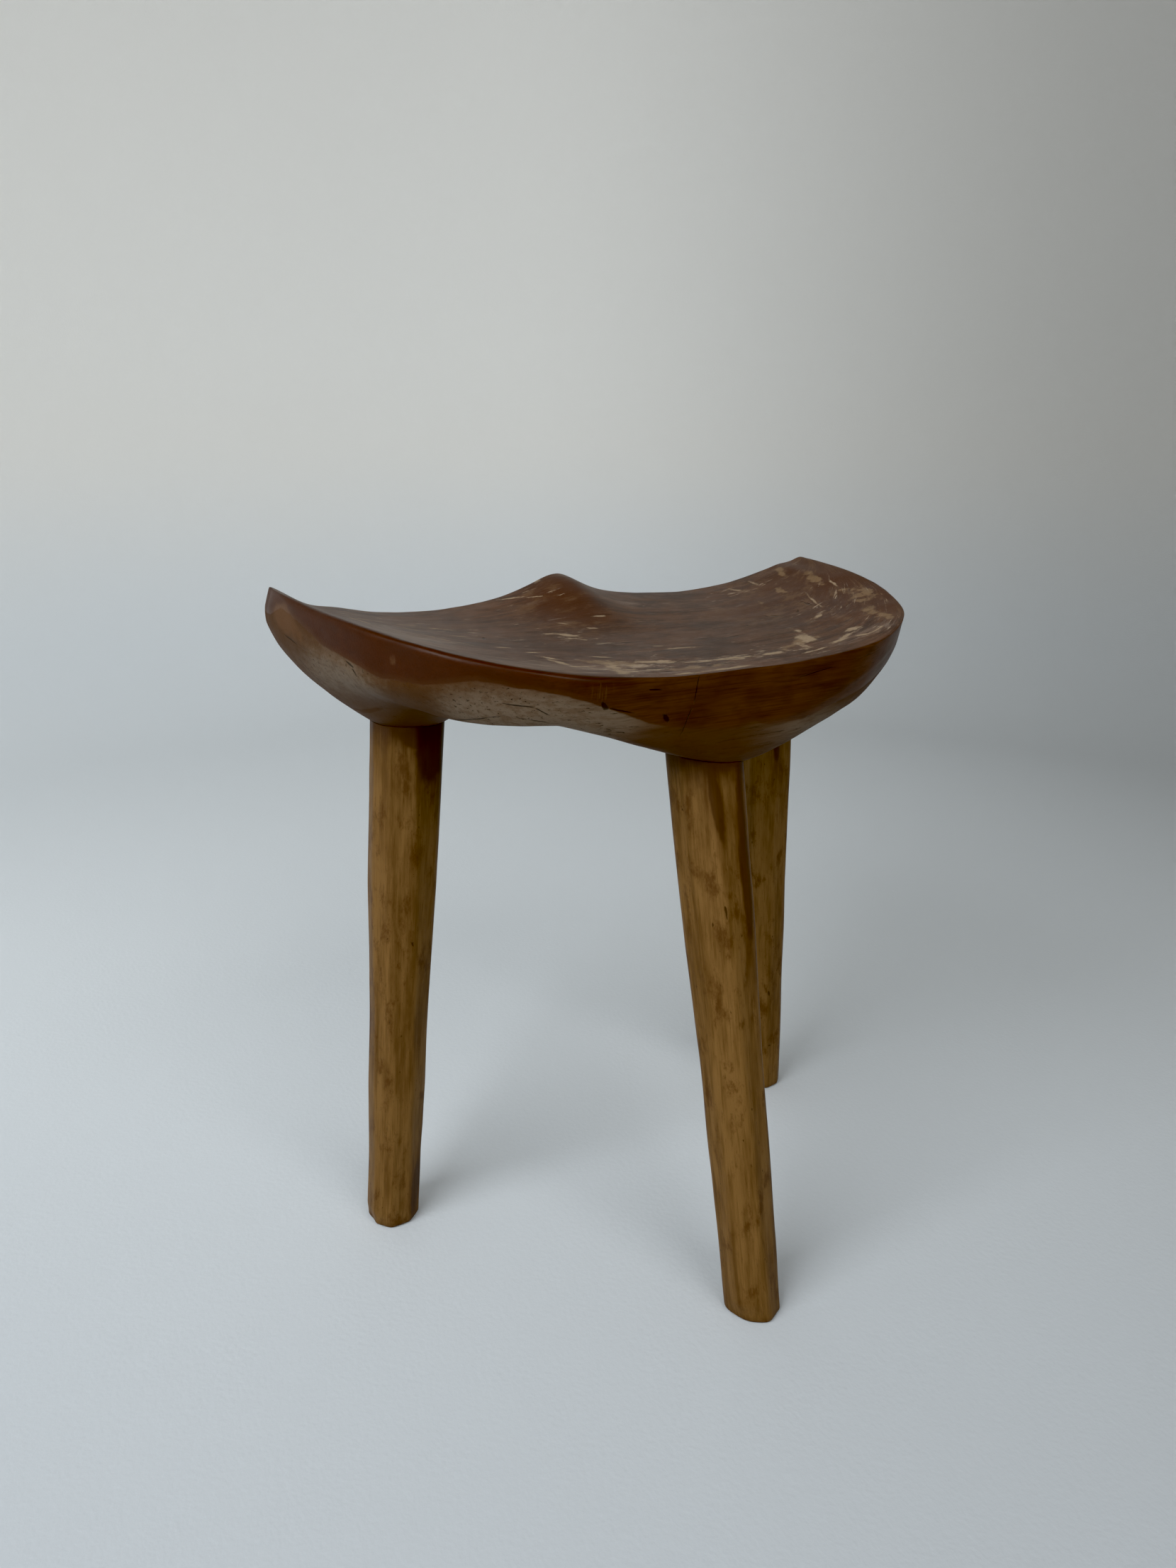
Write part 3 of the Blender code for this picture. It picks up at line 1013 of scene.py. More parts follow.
    def top_streaks(self, table: tuple) -> list[Streak]:
        """Read streaks on the top from their table. They reach through the whole height of the seat."""
        height = self.streak_height_mm
        return [self.streak((x0, b0, 0.0), (x1, b1, 0.0), width, height) for x0, b0, x1, b1, width in table]

    def streak(self, start: Place, end: Place, width: float, height: float) -> Streak:
        """Put a streak, given in millimetres in the seat's plan, into the frame."""
        first, last = (tuple(to_frame(np.array(place) * MM).tolist()) for place in (start, end))
        return Streak(first, last, width * MM, height * MM, "Z" if start[2] == 0.0 else "Y")

    def streaks(self) -> dict[str, list[Streak]]:
        """Gather the seat's streaks.

        Returns:
            The streaks by the name of their attribute.
        """
        return {
            "cream": self.top_streaks(CREAM_STREAKS),
            "honey": self.top_streaks(HONEY_STREAKS),
            "dents": self.top_streaks(DARK_STREAKS),
            "splits": [self.streak(row[:3], row[3:6], row[6], self.split_depth_mm) for row in EDGE_CRACKS],
        }

    def drill(self, item: bpy.types.Object, legs: Sequence["ShavedLeg"]) -> None:
        """Drill a blind socket for each leg's tenon, with the joint's gap all round.

        Args:
            item: the seat's object.
            legs: the legs that it takes.
        """
        pegs = []
        for leg in legs:
            peg = make_mesh("drill", *leg.peg(LEG_FORM.joint_gap))
            pegs.append(peg)
            boolean = item.modifiers.new("Drill " + leg.name, "BOOLEAN")
            boolean.operation = "DIFFERENCE"
            boolean.solver = "EXACT"
            boolean.object = peg
        evaluated = item.evaluated_get(bpy.context.evaluated_depsgraph_get())
        drilled = bpy.data.meshes.new_from_object(evaluated)
        item.modifiers.clear()
        item.data = drilled
        drilled.name = item.name
        for peg in pegs:
            bpy.data.objects.remove(peg, do_unlink=True)
        drilled.set_sharp_from_angle(angle=SHARP_ANGLE)

    def build(self, legs: Sequence["ShavedLeg"], finish: "WornLacquer") -> bpy.types.Object:
        """Make the seat's mesh, store its fields, drill it and dress it.

        Args:
            legs: the legs that it takes.
            finish: the seat's finish.

        Returns:
            The finished piece.
        """
        rings = self.points[1:-1]
        flat = np.concatenate([self.points[0, :1], rings.reshape(-1, 3), self.points[-1, :1]])
        item = make_mesh("seat_carved", to_frame(flat), grid_faces(len(rings), self.columns))
        for name, values in self.fields().items():
            inner = values[1:-1].reshape(-1, 3)
            poles = values[[0, -1]].mean(axis=1)
            vertices = np.concatenate([poles[:1], inner, poles[1:]])
            set_corners(item.data, name, vertices[face_corners(item.data)])
        for name, streaks in self.streaks().items():
            set_streaks(item.data, name, to_frame(flat), streaks)
        self.drill(item, legs)
        item.data.materials.clear()
        item.data.materials.append(finish.material())
        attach(item, BODY)
        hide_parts("seat")
        LOG.info("%s: %d faces", item.name, len(item.data.polygons))
        return item


@dataclass(frozen=True)
class Flat:
    """A flat shaved along a leg: the way it faces at the foot, its turn by the top, and its depth."""

    azimuth: float
    turn: float
    depth_share: float


@dataclass
class ShavedLeg:
    """One leg: a round shank shaved in long flats, scribed to its boss, with a tenon in the socket."""

    name: str
    joint_place: tuple[float, float]
    splay: tuple[float, float]
    fall: float
    flats: tuple[Flat, ...]
    stains_and_shade: tuple[tuple[float, ...], ...]
    specks: tuple[tuple[float, ...], ...]
    worn_side: float
    seed: int
    form: LegForm = LEG_FORM
    columns: int = 216
    rows: int = 330
    foot_rows: int = 5
    foot_round: float = 0.0025
    shoulder_round: float = 0.0004
    shoulder_shares: tuple[float, ...] = (1.0, 0.93, 0.80, 0.65)
    rows_above_shank: int = 8
    flat_least_cosine: float = 0.2
    flat_unevenness: float = 0.00035
    flat_softness: float = 0.00050
    flat_cell: Place = (0.05, 0.040, 1.0)
    wobble: float = 0.00045
    wobble_cell: Place = (0.016, 0.050, 1.0)
    chatter: float = 0.00010
    chatter_cell: Place = (0.0035, 0.018, 1.0)
    wear: float = 0.0022
    wear_turn: float = 0.7
    wear_height: float = 0.012
    seat_reach: float = 0.045
    foot: Array = field(init=False)
    axis: Array = field(init=False)
    length: float = field(init=False)
    sideways: Array = field(init=False)

    def __post_init__(self) -> None:
        """Work out the leg's axis and the two directions square to it."""
        top = to_frame(np.array([*self.joint_place, SEAT_FORM.height - self.fall]))
        foot_back = self.joint_place[1] + self.splay[1]
        self.foot = to_frame(np.array([self.joint_place[0] + self.splay[0], foot_back, 0.0]))
        self.length = float(np.linalg.norm(top - self.foot))
        self.axis = (top - self.foot) / self.length
        first = np.array([1.0, 0.0, 0.0]) - self.axis[0] * self.axis
        first /= np.linalg.norm(first)
        self.sideways = np.stack([first, np.cross(self.axis, first)])

    @property
    def shift(self) -> Place:
        """Move of the grain's pattern, another one for each leg."""
        return (self.seed * 0.37, self.seed * 0.23, self.seed * 0.11)

    def streaks(self, table: tuple[tuple[float, ...], ...]) -> list[Streak]:
        """Put marks, given by azimuth and height, on the leg.

        Args:
            table: azimuth and height of each mark's two ends, and its width, in degrees and millimetres.

        Returns:
            The marks in the coordinates of the leg's grain.
        """
        found = []
        for first_turn, first_height, last_turn, last_height, width in table:
            ends = []
            for turn, height in ((first_turn, first_height), (last_turn, last_height)):
                along = height * MM / self.axis[2]
                radius = float(self.form.radius(np.array(along / self.length)))
                ends.append((radius * cos(radians(turn)), radius * sin(radians(turn)), along))
            found.append(Streak(ends[0], ends[1], width * MM, width * MM))
        return found

    @property
    def angles(self) -> Array:
        """Angle of each column about the axis, from +X towards +Y."""
        return np.arange(self.columns) * 2 * pi / self.columns

    def spokes(self) -> Array:
        """Unit directions from the axis to each column."""
        return np.stack([np.cos(self.angles), np.sin(self.angles)], axis=-1) @ self.sideways

    def along_axis(self, points: Array) -> Array:
        """Turn points of the frame into the leg's own coordinates, whose last runs up the axis."""
        return (points - self.foot) @ np.stack([*self.sideways, self.axis]).T

    def shaved_radius(self, along: Array) -> Array:
        """Radius of the shank, at distances along the axis for each column.

        Each flat stands at its own distance from the axis and reaches its distance over the cosine of the
        angle away from it. The radius is the soft minimum of all flats and the round shank: the least less
        the softness times the log of the sum of exp((least - radius) / softness). The tool's strokes and
        the foot's wear are taken off it.

        Args:
            along: distances from the foot, for rows of columns.

        Returns:
            The radius at each of them.
        """
        share = along / self.length
        nothing = np.zeros(along.shape)
        round_radius = self.form.radius(share)
        girth = np.broadcast_to(self.angles * self.form.foot_diameter / 2, along.shape)
        skin = np.stack([girth, along, nothing], axis=-1)
        wobble = lattice_noise(skin, self.wobble_cell, self.seed)
        radii = [round_radius]
        for number, flat in enumerate(self.flats):
            away = self.angles - np.radians(flat.azimuth + flat.turn * share)
            facing = np.maximum(np.cos(away), self.flat_least_cosine)
            run = np.stack([nothing + number * self.flat_cell[0], along, nothing], axis=-1)
            uneven = self.flat_unevenness * lattice_noise(run, self.flat_cell, self.seed + 7)
            radii.append((round_radius * (1.0 - flat.depth_share) + uneven) / facing)
        stack = np.stack(radii)
        low = stack.min(axis=0)
        excess = np.exp((low - stack) / self.flat_softness)
        soft = low - self.flat_softness * np.log(np.sum(excess, axis=0))
        chatter = lattice_noise(skin, self.chatter_cell, self.seed + 1)
        away = np.angle(np.exp(1j * (self.angles - radians(self.worn_side))))
        worn = bell(away / self.wear_turn) * smoothstep(1.0 - along / self.wear_height)
        return soft - self.wobble * (1.0 + wobble) - self.chatter * (1.0 + chatter) - self.wear * worn

    def reach_seat(self, seat: CarvedSeat, radii: Array) -> Array:
        """Find where lines along the leg's axis meet the seat from below.

        Seen along the axis, each line is a point and the seat's faces are flat triangles. A line meets the
        lowest triangle that holds its point, at the height that its three shares give.

        Args:
            seat: the carved seat.
            radii: distance of the line from the axis, for rows of columns.

        Returns:
            Distance along the axis from the foot to the seat, less the joint's gap.
        """
        slack = 1e-6
        margin = 1.3
        local = self.along_axis(to_frame(seat.points))
        turned = np.roll(local, -1, axis=1)
        quads = np.stack([local[:-1], local[1:], turned[1:], turned[:-1]], axis=-2).reshape(-1, 4, 3)
        triangles = np.concatenate([quads[:, [0, 1, 2]], quads[:, [0, 2, 3]]])
        middle = triangles.mean(axis=1)
        near = np.hypot(middle[:, 0], middle[:, 1]) < margin * radii.max()
        near &= middle[:, 2] < self.length + self.seat_reach
        start, end, far = np.moveaxis(triangles[near], 1, 0)
        x0, y0, z0 = start.T
        x1, y1, z1 = (end - start).T
        x2, y2, z2 = (far - start).T
        area = x1 * y2 - y1 * x2
        area = np.where(np.abs(area) < TINY, TINY, area)
        heights = np.empty(radii.shape)
        for row, row_radii in enumerate(radii):
            x = (row_radii * np.cos(self.angles))[:, None] - x0
            y = (row_radii * np.sin(self.angles))[:, None] - y0
            second = (x * y2 - y * x2) / area
            third = (x1 * y - y1 * x) / area
            holds = (second >= -slack) & (third >= -slack) & (second + third <= 1.0 + slack)
            heights[row] = np.where(holds, z0 + second * z1 + third * z2, np.inf).min(axis=1)
        limit = self.length + self.form.overrun
        return np.minimum(heights, limit) - self.form.joint_gap

    def peg(self, gap: float) -> tuple[Array, list]:
        """Make the tenon's peg, or with a gap the drill that cuts its socket.

        Args:
            gap: how far it stands off the tenon all round.

        Returns:
            Its points and faces.
        """
        radius = self.form.tenon_diameter / 2 + gap
        end = self.length + self.form.tenon_length + gap
        rows = (
            (radius, self.length - self.form.overrun),
            (radius, end - self.form.tenon_chamfer),
            (radius - self.form.tenon_chamfer, end),
        )
        rings = [self.foot + self.axis * along + self.spokes() * size for size, along in rows]
        poles = [self.foot + self.axis * along for along in (rows[0][1], rows[-1][1])]
        points = np.concatenate([poles[:1], *rings, poles[1:]])
        return points, [face[::-1] for face in grid_faces(len(rows), self.columns)]

    def surface(self, seat: CarvedSeat) -> Array:
        """Lay out the leg's surface in rows, from its foot up over the shoulder to the tenon's end.

        The foot's rings are level with the floor and the others square to the axis. The shank ends where
        it meets the seat, and the shoulder follows the seat inward to the tenon.

        Args:
            seat: the carved seat.

        Returns:
            Rows of points in the frame.
        """
        form = self.form
        top_radius = self.shaved_radius(np.full((1, self.columns), self.length))
        bare = form.tenon_diameter / 2
        shoulder_radii = np.maximum(top_radius * np.array(self.shoulder_shares)[:, None], bare)
        shoulder_radii = np.concatenate([shoulder_radii, np.full((1, self.columns), bare)])
        shoulder = self.reach_seat(seat, shoulder_radii)

        tilt = self.spokes()[:, 2] / self.axis[2]
        share = np.linspace(0.0, 1.0, self.rows)[:, None]
        level = -tilt * form.foot_diameter / 2
        foot_along = level + self.foot_round / self.axis[2]
        along = foot_along + (shoulder[0] - foot_along) * share
        radius = self.shaved_radius(along)

        rows = []
        for turn in np.linspace(0.0, pi / 2, self.foot_rows, endpoint=False):
            ring_radius = radius[0] - self.foot_round * (1.0 - sin(turn))
            rise = self.foot_round * (1.0 - cos(turn)) / self.axis[2]
            rows.append((ring_radius, -tilt * ring_radius + rise))
        rows.extend(zip(radius, along))
        rows.append((radius[-1] - self.shoulder_round, shoulder[0]))
        rows.extend(zip(shoulder_radii[1:], shoulder[1:]))
        end = self.length + form.tenon_length
        for size, height in (
            (bare, self.length + form.tenon_length / 2),
            (bare, end - form.tenon_chamfer),
            (bare - form.tenon_chamfer, end),
        ):
            rows.append((np.full(self.columns, size), np.full(self.columns, height)))
        sizes, heights = np.moveaxis(np.array(rows), 1, 0)[..., None]
        return self.foot + self.axis * heights + self.spokes() * sizes

    def build(self, seat: CarvedSeat, finish: "ShavedOchre") -> bpy.types.Object:
        """Make the leg's mesh, store its grain and dress it.

        Args:
            seat: the carved seat that it meets.
            finish: the legs' finish.

        Returns:
            The finished piece.
        """
        rings = self.surface(seat)
        last = self.foot + self.axis * (self.length + self.form.tenon_length)
        points = np.concatenate([self.foot[None], rings.reshape(-1, 3), last[None]])
        faces = [face[::-1] for face in grid_faces(len(rings), self.columns)]
        item = make_mesh("leg_" + self.name + "_shaved", points, faces)
        corners = face_corners(item.data)
        local = self.along_axis(points)
        set_corners(item.data, "grain", (local + np.array(self.shift))[corners])
        set_streaks(item.data, "stains_and_shade", local, self.streaks(self.stains_and_shade))
        set_streaks(item.data, "specks", local, self.streaks(self.specks))
        joint = rings[-self.rows_above_shank - 1, :, 2]
        below = np.concatenate([[0.0], (joint - rings[..., 2]).ravel(), [0.0]])
        ends = np.stack([points[:, 2], below, np.zeros(len(points))], axis=-1)
        set_corners(item.data, "ends", ends[corners])
        item.data.set_sharp_from_angle(angle=SHARP_ANGLE)
        item.data.materials.append(finish.material())
        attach(item, BODY)
        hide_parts("leg_" + self.name)
        LOG.info("%s: %d faces", item.name, len(item.data.polygons))
        return item


@dataclass(frozen=True)
class Pattern:
    """A noise: its patches' length along each axis, its finer layers and their strength, and its shift."""

    size: Place
    detail: float
    roughness: float
    shift: Place = (0.0, 0.0, 0.0)


@dataclass(frozen=True)
class Signal:
    """A number, vector or colour that runs through a material's nodes, with signs of arithmetic."""

    graph: "Graph"
    socket: bpy.types.NodeSocket

    def __add__(self, other: "Signal | float") -> "Signal":
        """Add."""
        return self.graph.math("ADD", self, other)

    def __sub__(self, other: "Signal | float") -> "Signal":
        """Subtract."""
        return self.graph.math("SUBTRACT", self, other)

    def __mul__(self, other: "Signal | float") -> "Signal":
        """Multiply."""
        return self.graph.math("MULTIPLY", self, other)

    def most(self, other: "Signal | float") -> "Signal":
        """Give the larger of two numbers."""
        return self.graph.math("MAXIMUM", self, other)

    def step(self, low: float, high: float) -> "Signal":
        """Ease from 0 at low to 1 at high. With high below low, it falls.

        Args:
            low: where it is 0.
            high: where it is 1.

        Returns:
            The eased share.
        """
        limits = {0: self, 1: low, 2: high}
        node = self.graph.add("ShaderNodeMapRange", limits, interpolation_type="SMOOTHSTEP")
        return Signal(self.graph, node.outputs[0])

    def swing(self, amount: float) -> "Signal":
        """Turn noise around a half into a swing around nothing, times an amount."""
        return (self - 0.5) * amount

    def coat(self, share: "Signal | float", colour: "Signal | Colour") -> "Signal":
        """Cover a share of this colour with another."""
        return self.graph.mix(share, self, colour)


class Graph:
    """The nodes of one material, made and joined by short calls."""

    def __init__(self, name: str) -> None:
        """Start a material with its usual shader.

        Args:
            name: the material's name.
        """
        self.material = bpy.data.materials.new(name)
        self.material.use_nodes = True
        self.tree = self.material.node_tree
        self.shader = self.tree.nodes["Principled BSDF"]
        self.place = Signal(self, self.add("ShaderNodeTexCoord", {}).outputs["Object"])

    def add(self, kind: str, inputs: dict, **settings: object) -> bpy.types.Node:
        """Add a node.

        Args:
            kind: the node's type.
            inputs: a value, or a signal, for each input by its number or name.
            settings: other settings of the node.

        Returns:
            The new node.
        """
        node = self.tree.nodes.new(kind)
        for name, value in settings.items():
            setattr(node, name, value)
        for key, value in inputs.items():
            self.feed(node.inputs[key], value)
        return node

    def feed(self, socket: bpy.types.NodeSocket, value: object) -> None:
        """Link a signal to a socket, or set a plain value on it.

        Args:
            socket: the input.
            value: a signal, a number, a vector or a colour.
        """
        if isinstance(value, Signal):
            self.tree.links.new(value.socket, socket)
        elif isinstance(value, tuple) and socket.type == "RGBA":
            socket.default_value = (*value, 1.0)
        else:
            socket.default_value = value

    def math(self, operation: str, first: Signal | float, second: Signal | float) -> Signal:
        """Join two numbers by one operation."""
        node = self.add("ShaderNodeMath", {0: first, 1: second}, operation=operation)
        return Signal(self, node.outputs[0])

    def field(self, name: str) -> Signal:
        """Read a mesh attribute as a vector."""
        node = self.add("ShaderNodeAttribute", {}, attribute_name=name)
        return Signal(self, node.outputs["Vector"])

    def split(self, vector: Signal) -> tuple[Signal, Signal, Signal]:
        """Split a vector into its three numbers."""
        node = self.add("ShaderNodeSeparateXYZ", {0: vector})
        return tuple(Signal(self, socket) for socket in node.outputs)

    def noise(self, where: Signal, pattern: Pattern) -> Signal:
        """Make noise between 0 and 1.

        Args:
            where: the coordinates.
            pattern: its sizes.

        Returns:
            The noise.
        """
        scale = tuple(1.0 / length for length in pattern.size)
        placing = {"Vector": where, "Location": pattern.shift, "Scale": scale}
        mapped = Signal(self, self.add("ShaderNodeMapping", placing).outputs[0])
        inputs = {"Vector": mapped, "Scale": 1.0, "Detail": pattern.detail, "Roughness": pattern.roughness}
        return Signal(self, self.add("ShaderNodeTexNoise", inputs).outputs[0])

    def streak(self, name: str, where: Signal, size: float, amount: float) -> Signal:
        """Say how near a streak is: 0 in its middle, 1 at its edge, and more outside it.

        Args:
            name: the attribute with the shares of the streak's reach.
            where: coordinates of the noise that bends the streak.
            size: length of a bend.
            amount: how far it bends, as a share of its reach.

        Returns:
            The length of the bent shares.
        """
        noise = self.add("ShaderNodeTexNoise", {"Vector": where, "Scale": 1.0 / size, "Detail": 3.0})
        random = Signal(self, noise.outputs["Color"])
        centring = {0: random, 1: (-0.5, -0.5, -0.5)}
        centred = Signal(self, self.add("ShaderNodeVectorMath", centring).outputs[0])
        bending = {0: centred, 1: (0.0, amount, amount), 2: self.field(name)}
        bent = Signal(self, self.add("ShaderNodeVectorMath", bending, operation="MULTIPLY_ADD").outputs[0])
        length = self.add("ShaderNodeVectorMath", {0: bent}, operation="LENGTH")
        return Signal(self, length.outputs["Value"])

    def mix(self, share: Signal | float, first: Signal | Colour, second: Signal | Colour) -> Signal:
        """Mix two colours."""
        node = self.add("ShaderNodeMix", {0: share, 6: first, 7: second}, data_type="RGBA")
        return Signal(self, node.outputs[2])

    def bump(self, height: Signal, depth: float) -> None:
        """Raise the fine surface by a height between 0 and 1, times a depth in metres."""
        node = self.add("ShaderNodeBump", {"Height": height, "Distance": depth, "Strength": 1.0})
        self.tree.links.new(node.outputs[0], self.shader.inputs["Normal"])

    def set_surface(self, colour: Signal, roughness: Signal | float, specular: float) -> None:
        """Set the shader's own inputs.

        Args:
            colour: the base colour.
            roughness: the roughness, a number where it is the same all over.
            specular: the specular level.
        """
        self.feed(self.shader.inputs["Base Color"], colour)
        self.feed(self.shader.inputs["Roughness"], roughness)
        self.feed(self.shader.inputs["Specular IOR Level"], specular)


@dataclass(frozen=True)
class WornLacquer:
    """Finish of the seat: chestnut lacquer on the edge, worn to grey brown on the top, bare wood below."""

    lacquer_deep: Colour = (0.0320, 0.0095, 0.0035)
    lacquer_light: Colour = (0.0720, 0.0265, 0.0095)
    lacquer_red: Colour = (0.0380, 0.0080, 0.0020)
    top_dark: Colour = (0.0390, 0.0158, 0.0080)
    top_mid: Colour = (0.0940, 0.0400, 0.0190)
    top_light: Colour = (0.1600, 0.0950, 0.0580)
    # Pale grey of worn haze, also used for painted sheen and highlight.
    haze_and_sheen: Colour = (0.1850, 0.1320, 0.0980)
    # Pale wood worn through, also a painted highlight along the left rim.
    worn_cream_and_glint: Colour = (0.3300, 0.2450, 0.1600)
    honey: Colour = (0.1950, 0.1200, 0.0580)
    warm: Colour = (0.0600, 0.0205, 0.0085)
    bare_grey: Colour = (0.1380, 0.0980, 0.0660)
    bare_brown: Colour = (0.0600, 0.0245, 0.0075)
    bare_dark: Colour = (0.0100, 0.0045, 0.0020)
    end_tan: Colour = (0.0950, 0.0450, 0.0200)
    soot: Colour = (0.0070, 0.0035, 0.0020)
    roughness: float = 0.42
    specular: float = 0.17

    fine_grain: Pattern = Pattern((0.026, 0.0010, 0.0010), 5.0, 0.62)
    broad_grain: Pattern = Pattern((0.090, 0.0055, 0.0040), 3.0, 0.55)
    mottle: Pattern = Pattern((0.010, 0.008, 0.008), 4.0, 0.6)
    cloud: Pattern = Pattern((0.045, 0.035, 0.030), 2.0, 0.5)
    grit: Pattern = Pattern((0.0022, 0.0016, 0.0016), 3.0, 0.6)
    scraped: Pattern = Pattern((0.0013, 0.0400, 0.0090), 2.0, 0.5, (3.0, 3.0, 8.0))
    patina: Pattern = Pattern((0.020, 0.014, 0.010), 5.0, 0.62, (8.0, 2.0, 6.0))
    streak: Pattern = Pattern((0.040, 0.0050, 1.0), 6.0, 0.66, (3.0, 1.0, 0.0))
    scratch: Pattern = Pattern((0.014, 0.0012, 1.0), 4.0, 0.62, (7.0, 2.0, 0.0))
    blotch: Pattern = Pattern((0.018, 0.0110, 1.0), 7.0, 0.72, (2.0, 4.0, 0.0))
    hairs: Pattern = Pattern((0.016, 0.0024, 1.0), 6.0, 0.68, (2.0, 9.0, 0.0))
    worn: Pattern = Pattern((0.022, 0.0040, 1.0), 7.0, 0.72, (1.0, 5.0, 0.0))
    smear: Pattern = Pattern((0.028, 0.0040, 0.0032), 5.0, 0.65, (5.0, 3.0, 1.0))
    crack: Pattern = Pattern((0.034, 0.0014, 0.0012), 5.0, 0.66, (2.0, 2.0, 2.0))

    def material(self) -> bpy.types.Material:
        """Build the material.

        Zones follow the mesh's fields, with their borders broken up by noise. Grain is noise stretched
        along the plank in Object coordinates. Streaks lie where their tables say, with ragged edges. Part
        of the pale haze and cream is a painted sheen and highlight, on the top and along the worn left rim.

        Returns:
            The seat's material.
        """
        graph = Graph("worn_lacquer")
        place = graph.place
        inside, above, _ = graph.split(graph.field("edge_fields"))
        warm, pale, dark = graph.split(graph.field("tones_top"))
        tan, grey, flecked = graph.split(graph.field("tones_edge"))
        sweep = graph.field("sweep")
        x, _, _ = graph.split(place)

        fine_grain = graph.noise(place, self.fine_grain)
        broad_grain = graph.noise(place, self.broad_grain)
        mottle = graph.noise(place, self.mottle)
        cloud = graph.noise(place, self.cloud)
        grit = graph.noise(place, self.grit)

        lacquer = graph.mix(
            (broad_grain * 0.30 + fine_grain * 0.35 + cloud * 0.35).step(0.34, 0.62),
            self.lacquer_deep,
            self.lacquer_light,
        )
        lacquer = lacquer.coat(x.step(-0.060, -0.140) * (cloud * 0.6 + 0.50), self.lacquer_red)
        lacquer = lacquer.coat(fine_grain.step(0.46, 0.34) * 0.22, self.soot)
        scraped = graph.noise(place, self.scraped)
        lacquer = lacquer.coat(scraped.step(0.52, 0.60) * flecked.step(0.30, 0.80) * 0.4, self.end_tan)
        patina = graph.noise(place, self.patina)
        lacquer = lacquer.coat(patina.step(0.55, 0.38) * 0.38, self.lacquer_deep)
        lacquer = lacquer.coat((above + mottle.swing(0.004)).step(0.004, 0.001) * 0.35, self.bare_brown)

        streak = graph.noise(sweep, self.streak)
        scratch = graph.noise(sweep, self.scratch)
        blotch = graph.noise(sweep, self.blotch)
        mixed = streak * 0.40 + blotch * 0.30 + scratch * 0.12 + cloud * 0.18
        top = graph.mix(mixed.step(0.42, 0.56), self.top_dark, self.top_mid)
        top = top.coat(scratch.step(0.54, 0.70) * blotch.step(0.44, 0.58) * 0.7, self.top_light)
        top = top.coat(scratch.step(0.42, 0.32) * 0.35, self.soot)
        top = top.coat(warm.step(0.12, 0.80) * (streak * 0.7 + 0.5), self.warm)
        top = top.coat(dark * streak.step(0.36, 0.58) * 0.75, self.top_dark)
        hairs = graph.noise(sweep, self.hairs)
        # Pale haze and fine hairs: worn haze, and partly a painted sheen where the pale patches lie.
        top = top.coat((pale * 0.8 + streak.swing(1.2)).step(0.25, 0.85) * 0.5, self.haze_and_sheen)
        top = top.coat((hairs + pale * 0.11).step(0.60, 0.70) * 0.65, self.haze_and_sheen)
        top = top.coat(warm.step(0.05, 0.60) * blotch.step(0.50, 0.64) * 0.25, self.honey)

        honey = (graph.streak("honey", place, 0.012, 1.2) + mottle.swing(3.4)).step(1.35, 0.75)
        top = top.coat(honey * (scratch * 0.6 + 0.45), self.honey)
        ragged = scratch.swing(0.9) + blotch.swing(1.6) + grit.swing(0.9)
        # Cream: pale wood worn through, and along the left rim a painted highlight.
        cream = (graph.streak("cream", place, 0.010, 1.4) + ragged).step(1.30, 0.85)
        worn = graph.noise(sweep, self.worn)
        flecks = (worn + flecked * 0.100).step(0.640, 0.690)
        top = top.coat(cream.most(flecks) * (grit * 0.6 + mottle * 0.5 + 0.35), self.worn_cream_and_glint)
        dents = (graph.streak("dents", place, 0.006, 0.8) + grit.swing(0.8)).step(1.15, 0.75)
        top = top.coat(dents * 0.9, self.soot)

        on_top = (inside + mottle.swing(0.0030)).step(0.0002, 0.0024)
        colour = graph.mix(on_top, lacquer, top)
        # Painted highlight: a broken pale band along the worn left rim, where the window's glint falls.
        rim = on_top.step(0.02, 0.40) * on_top.step(0.98, 0.60)
        rim = rim * x.step(-0.070, -0.110) * streak.step(0.42, 0.56)
        colour = colour.coat(rim * 0.8, self.haze_and_sheen)

        bare = (above + broad_grain.swing(0.0020) + mottle.swing(0.0016)).step(0.0006, -0.0006)
        weathered = (grey + cloud.swing(0.5) + broad_grain.swing(0.5)).step(0.05, 0.85)
        bare_colour = graph.mix(weathered, self.bare_brown, self.bare_grey)
        smear = graph.noise(place, self.smear)
        bare_colour = bare_colour.coat(smear.step(0.54, 0.38) * 0.42, self.bare_brown)
        bare_colour = bare_colour.coat(fine_grain.step(0.46, 0.34) * 0.22, self.bare_dark)
        crack = graph.noise(place, self.crack)
        cracked = crack.step(0.39, 0.33)
        bare_colour = bare_colour.coat(cracked * (grey + cloud - 0.5).step(0.20, 0.60), self.bare_dark)
        colour = colour.coat(bare, bare_colour)
        colour = colour.coat((tan + mottle.swing(0.5)).step(0.40, 0.62) * 0.8, self.end_tan)
        split = (graph.streak("splits", place, 0.006, 2.0) + grit.swing(0.7)).step(1.10, 0.70)
        colour = colour.coat(split * 0.8, self.soot)

        rough = on_top * 0.08 + bare * 0.26 + mottle * 0.12 + cream * 0.15 + (self.roughness - 0.14)
        graph.set_surface(colour, rough, self.specular)
        graph.bump(fine_grain * 0.35 + scratch * 0.3 - cracked * bare * 0.8 - split * 1.5 - dents, 0.00025)
        return graph.material


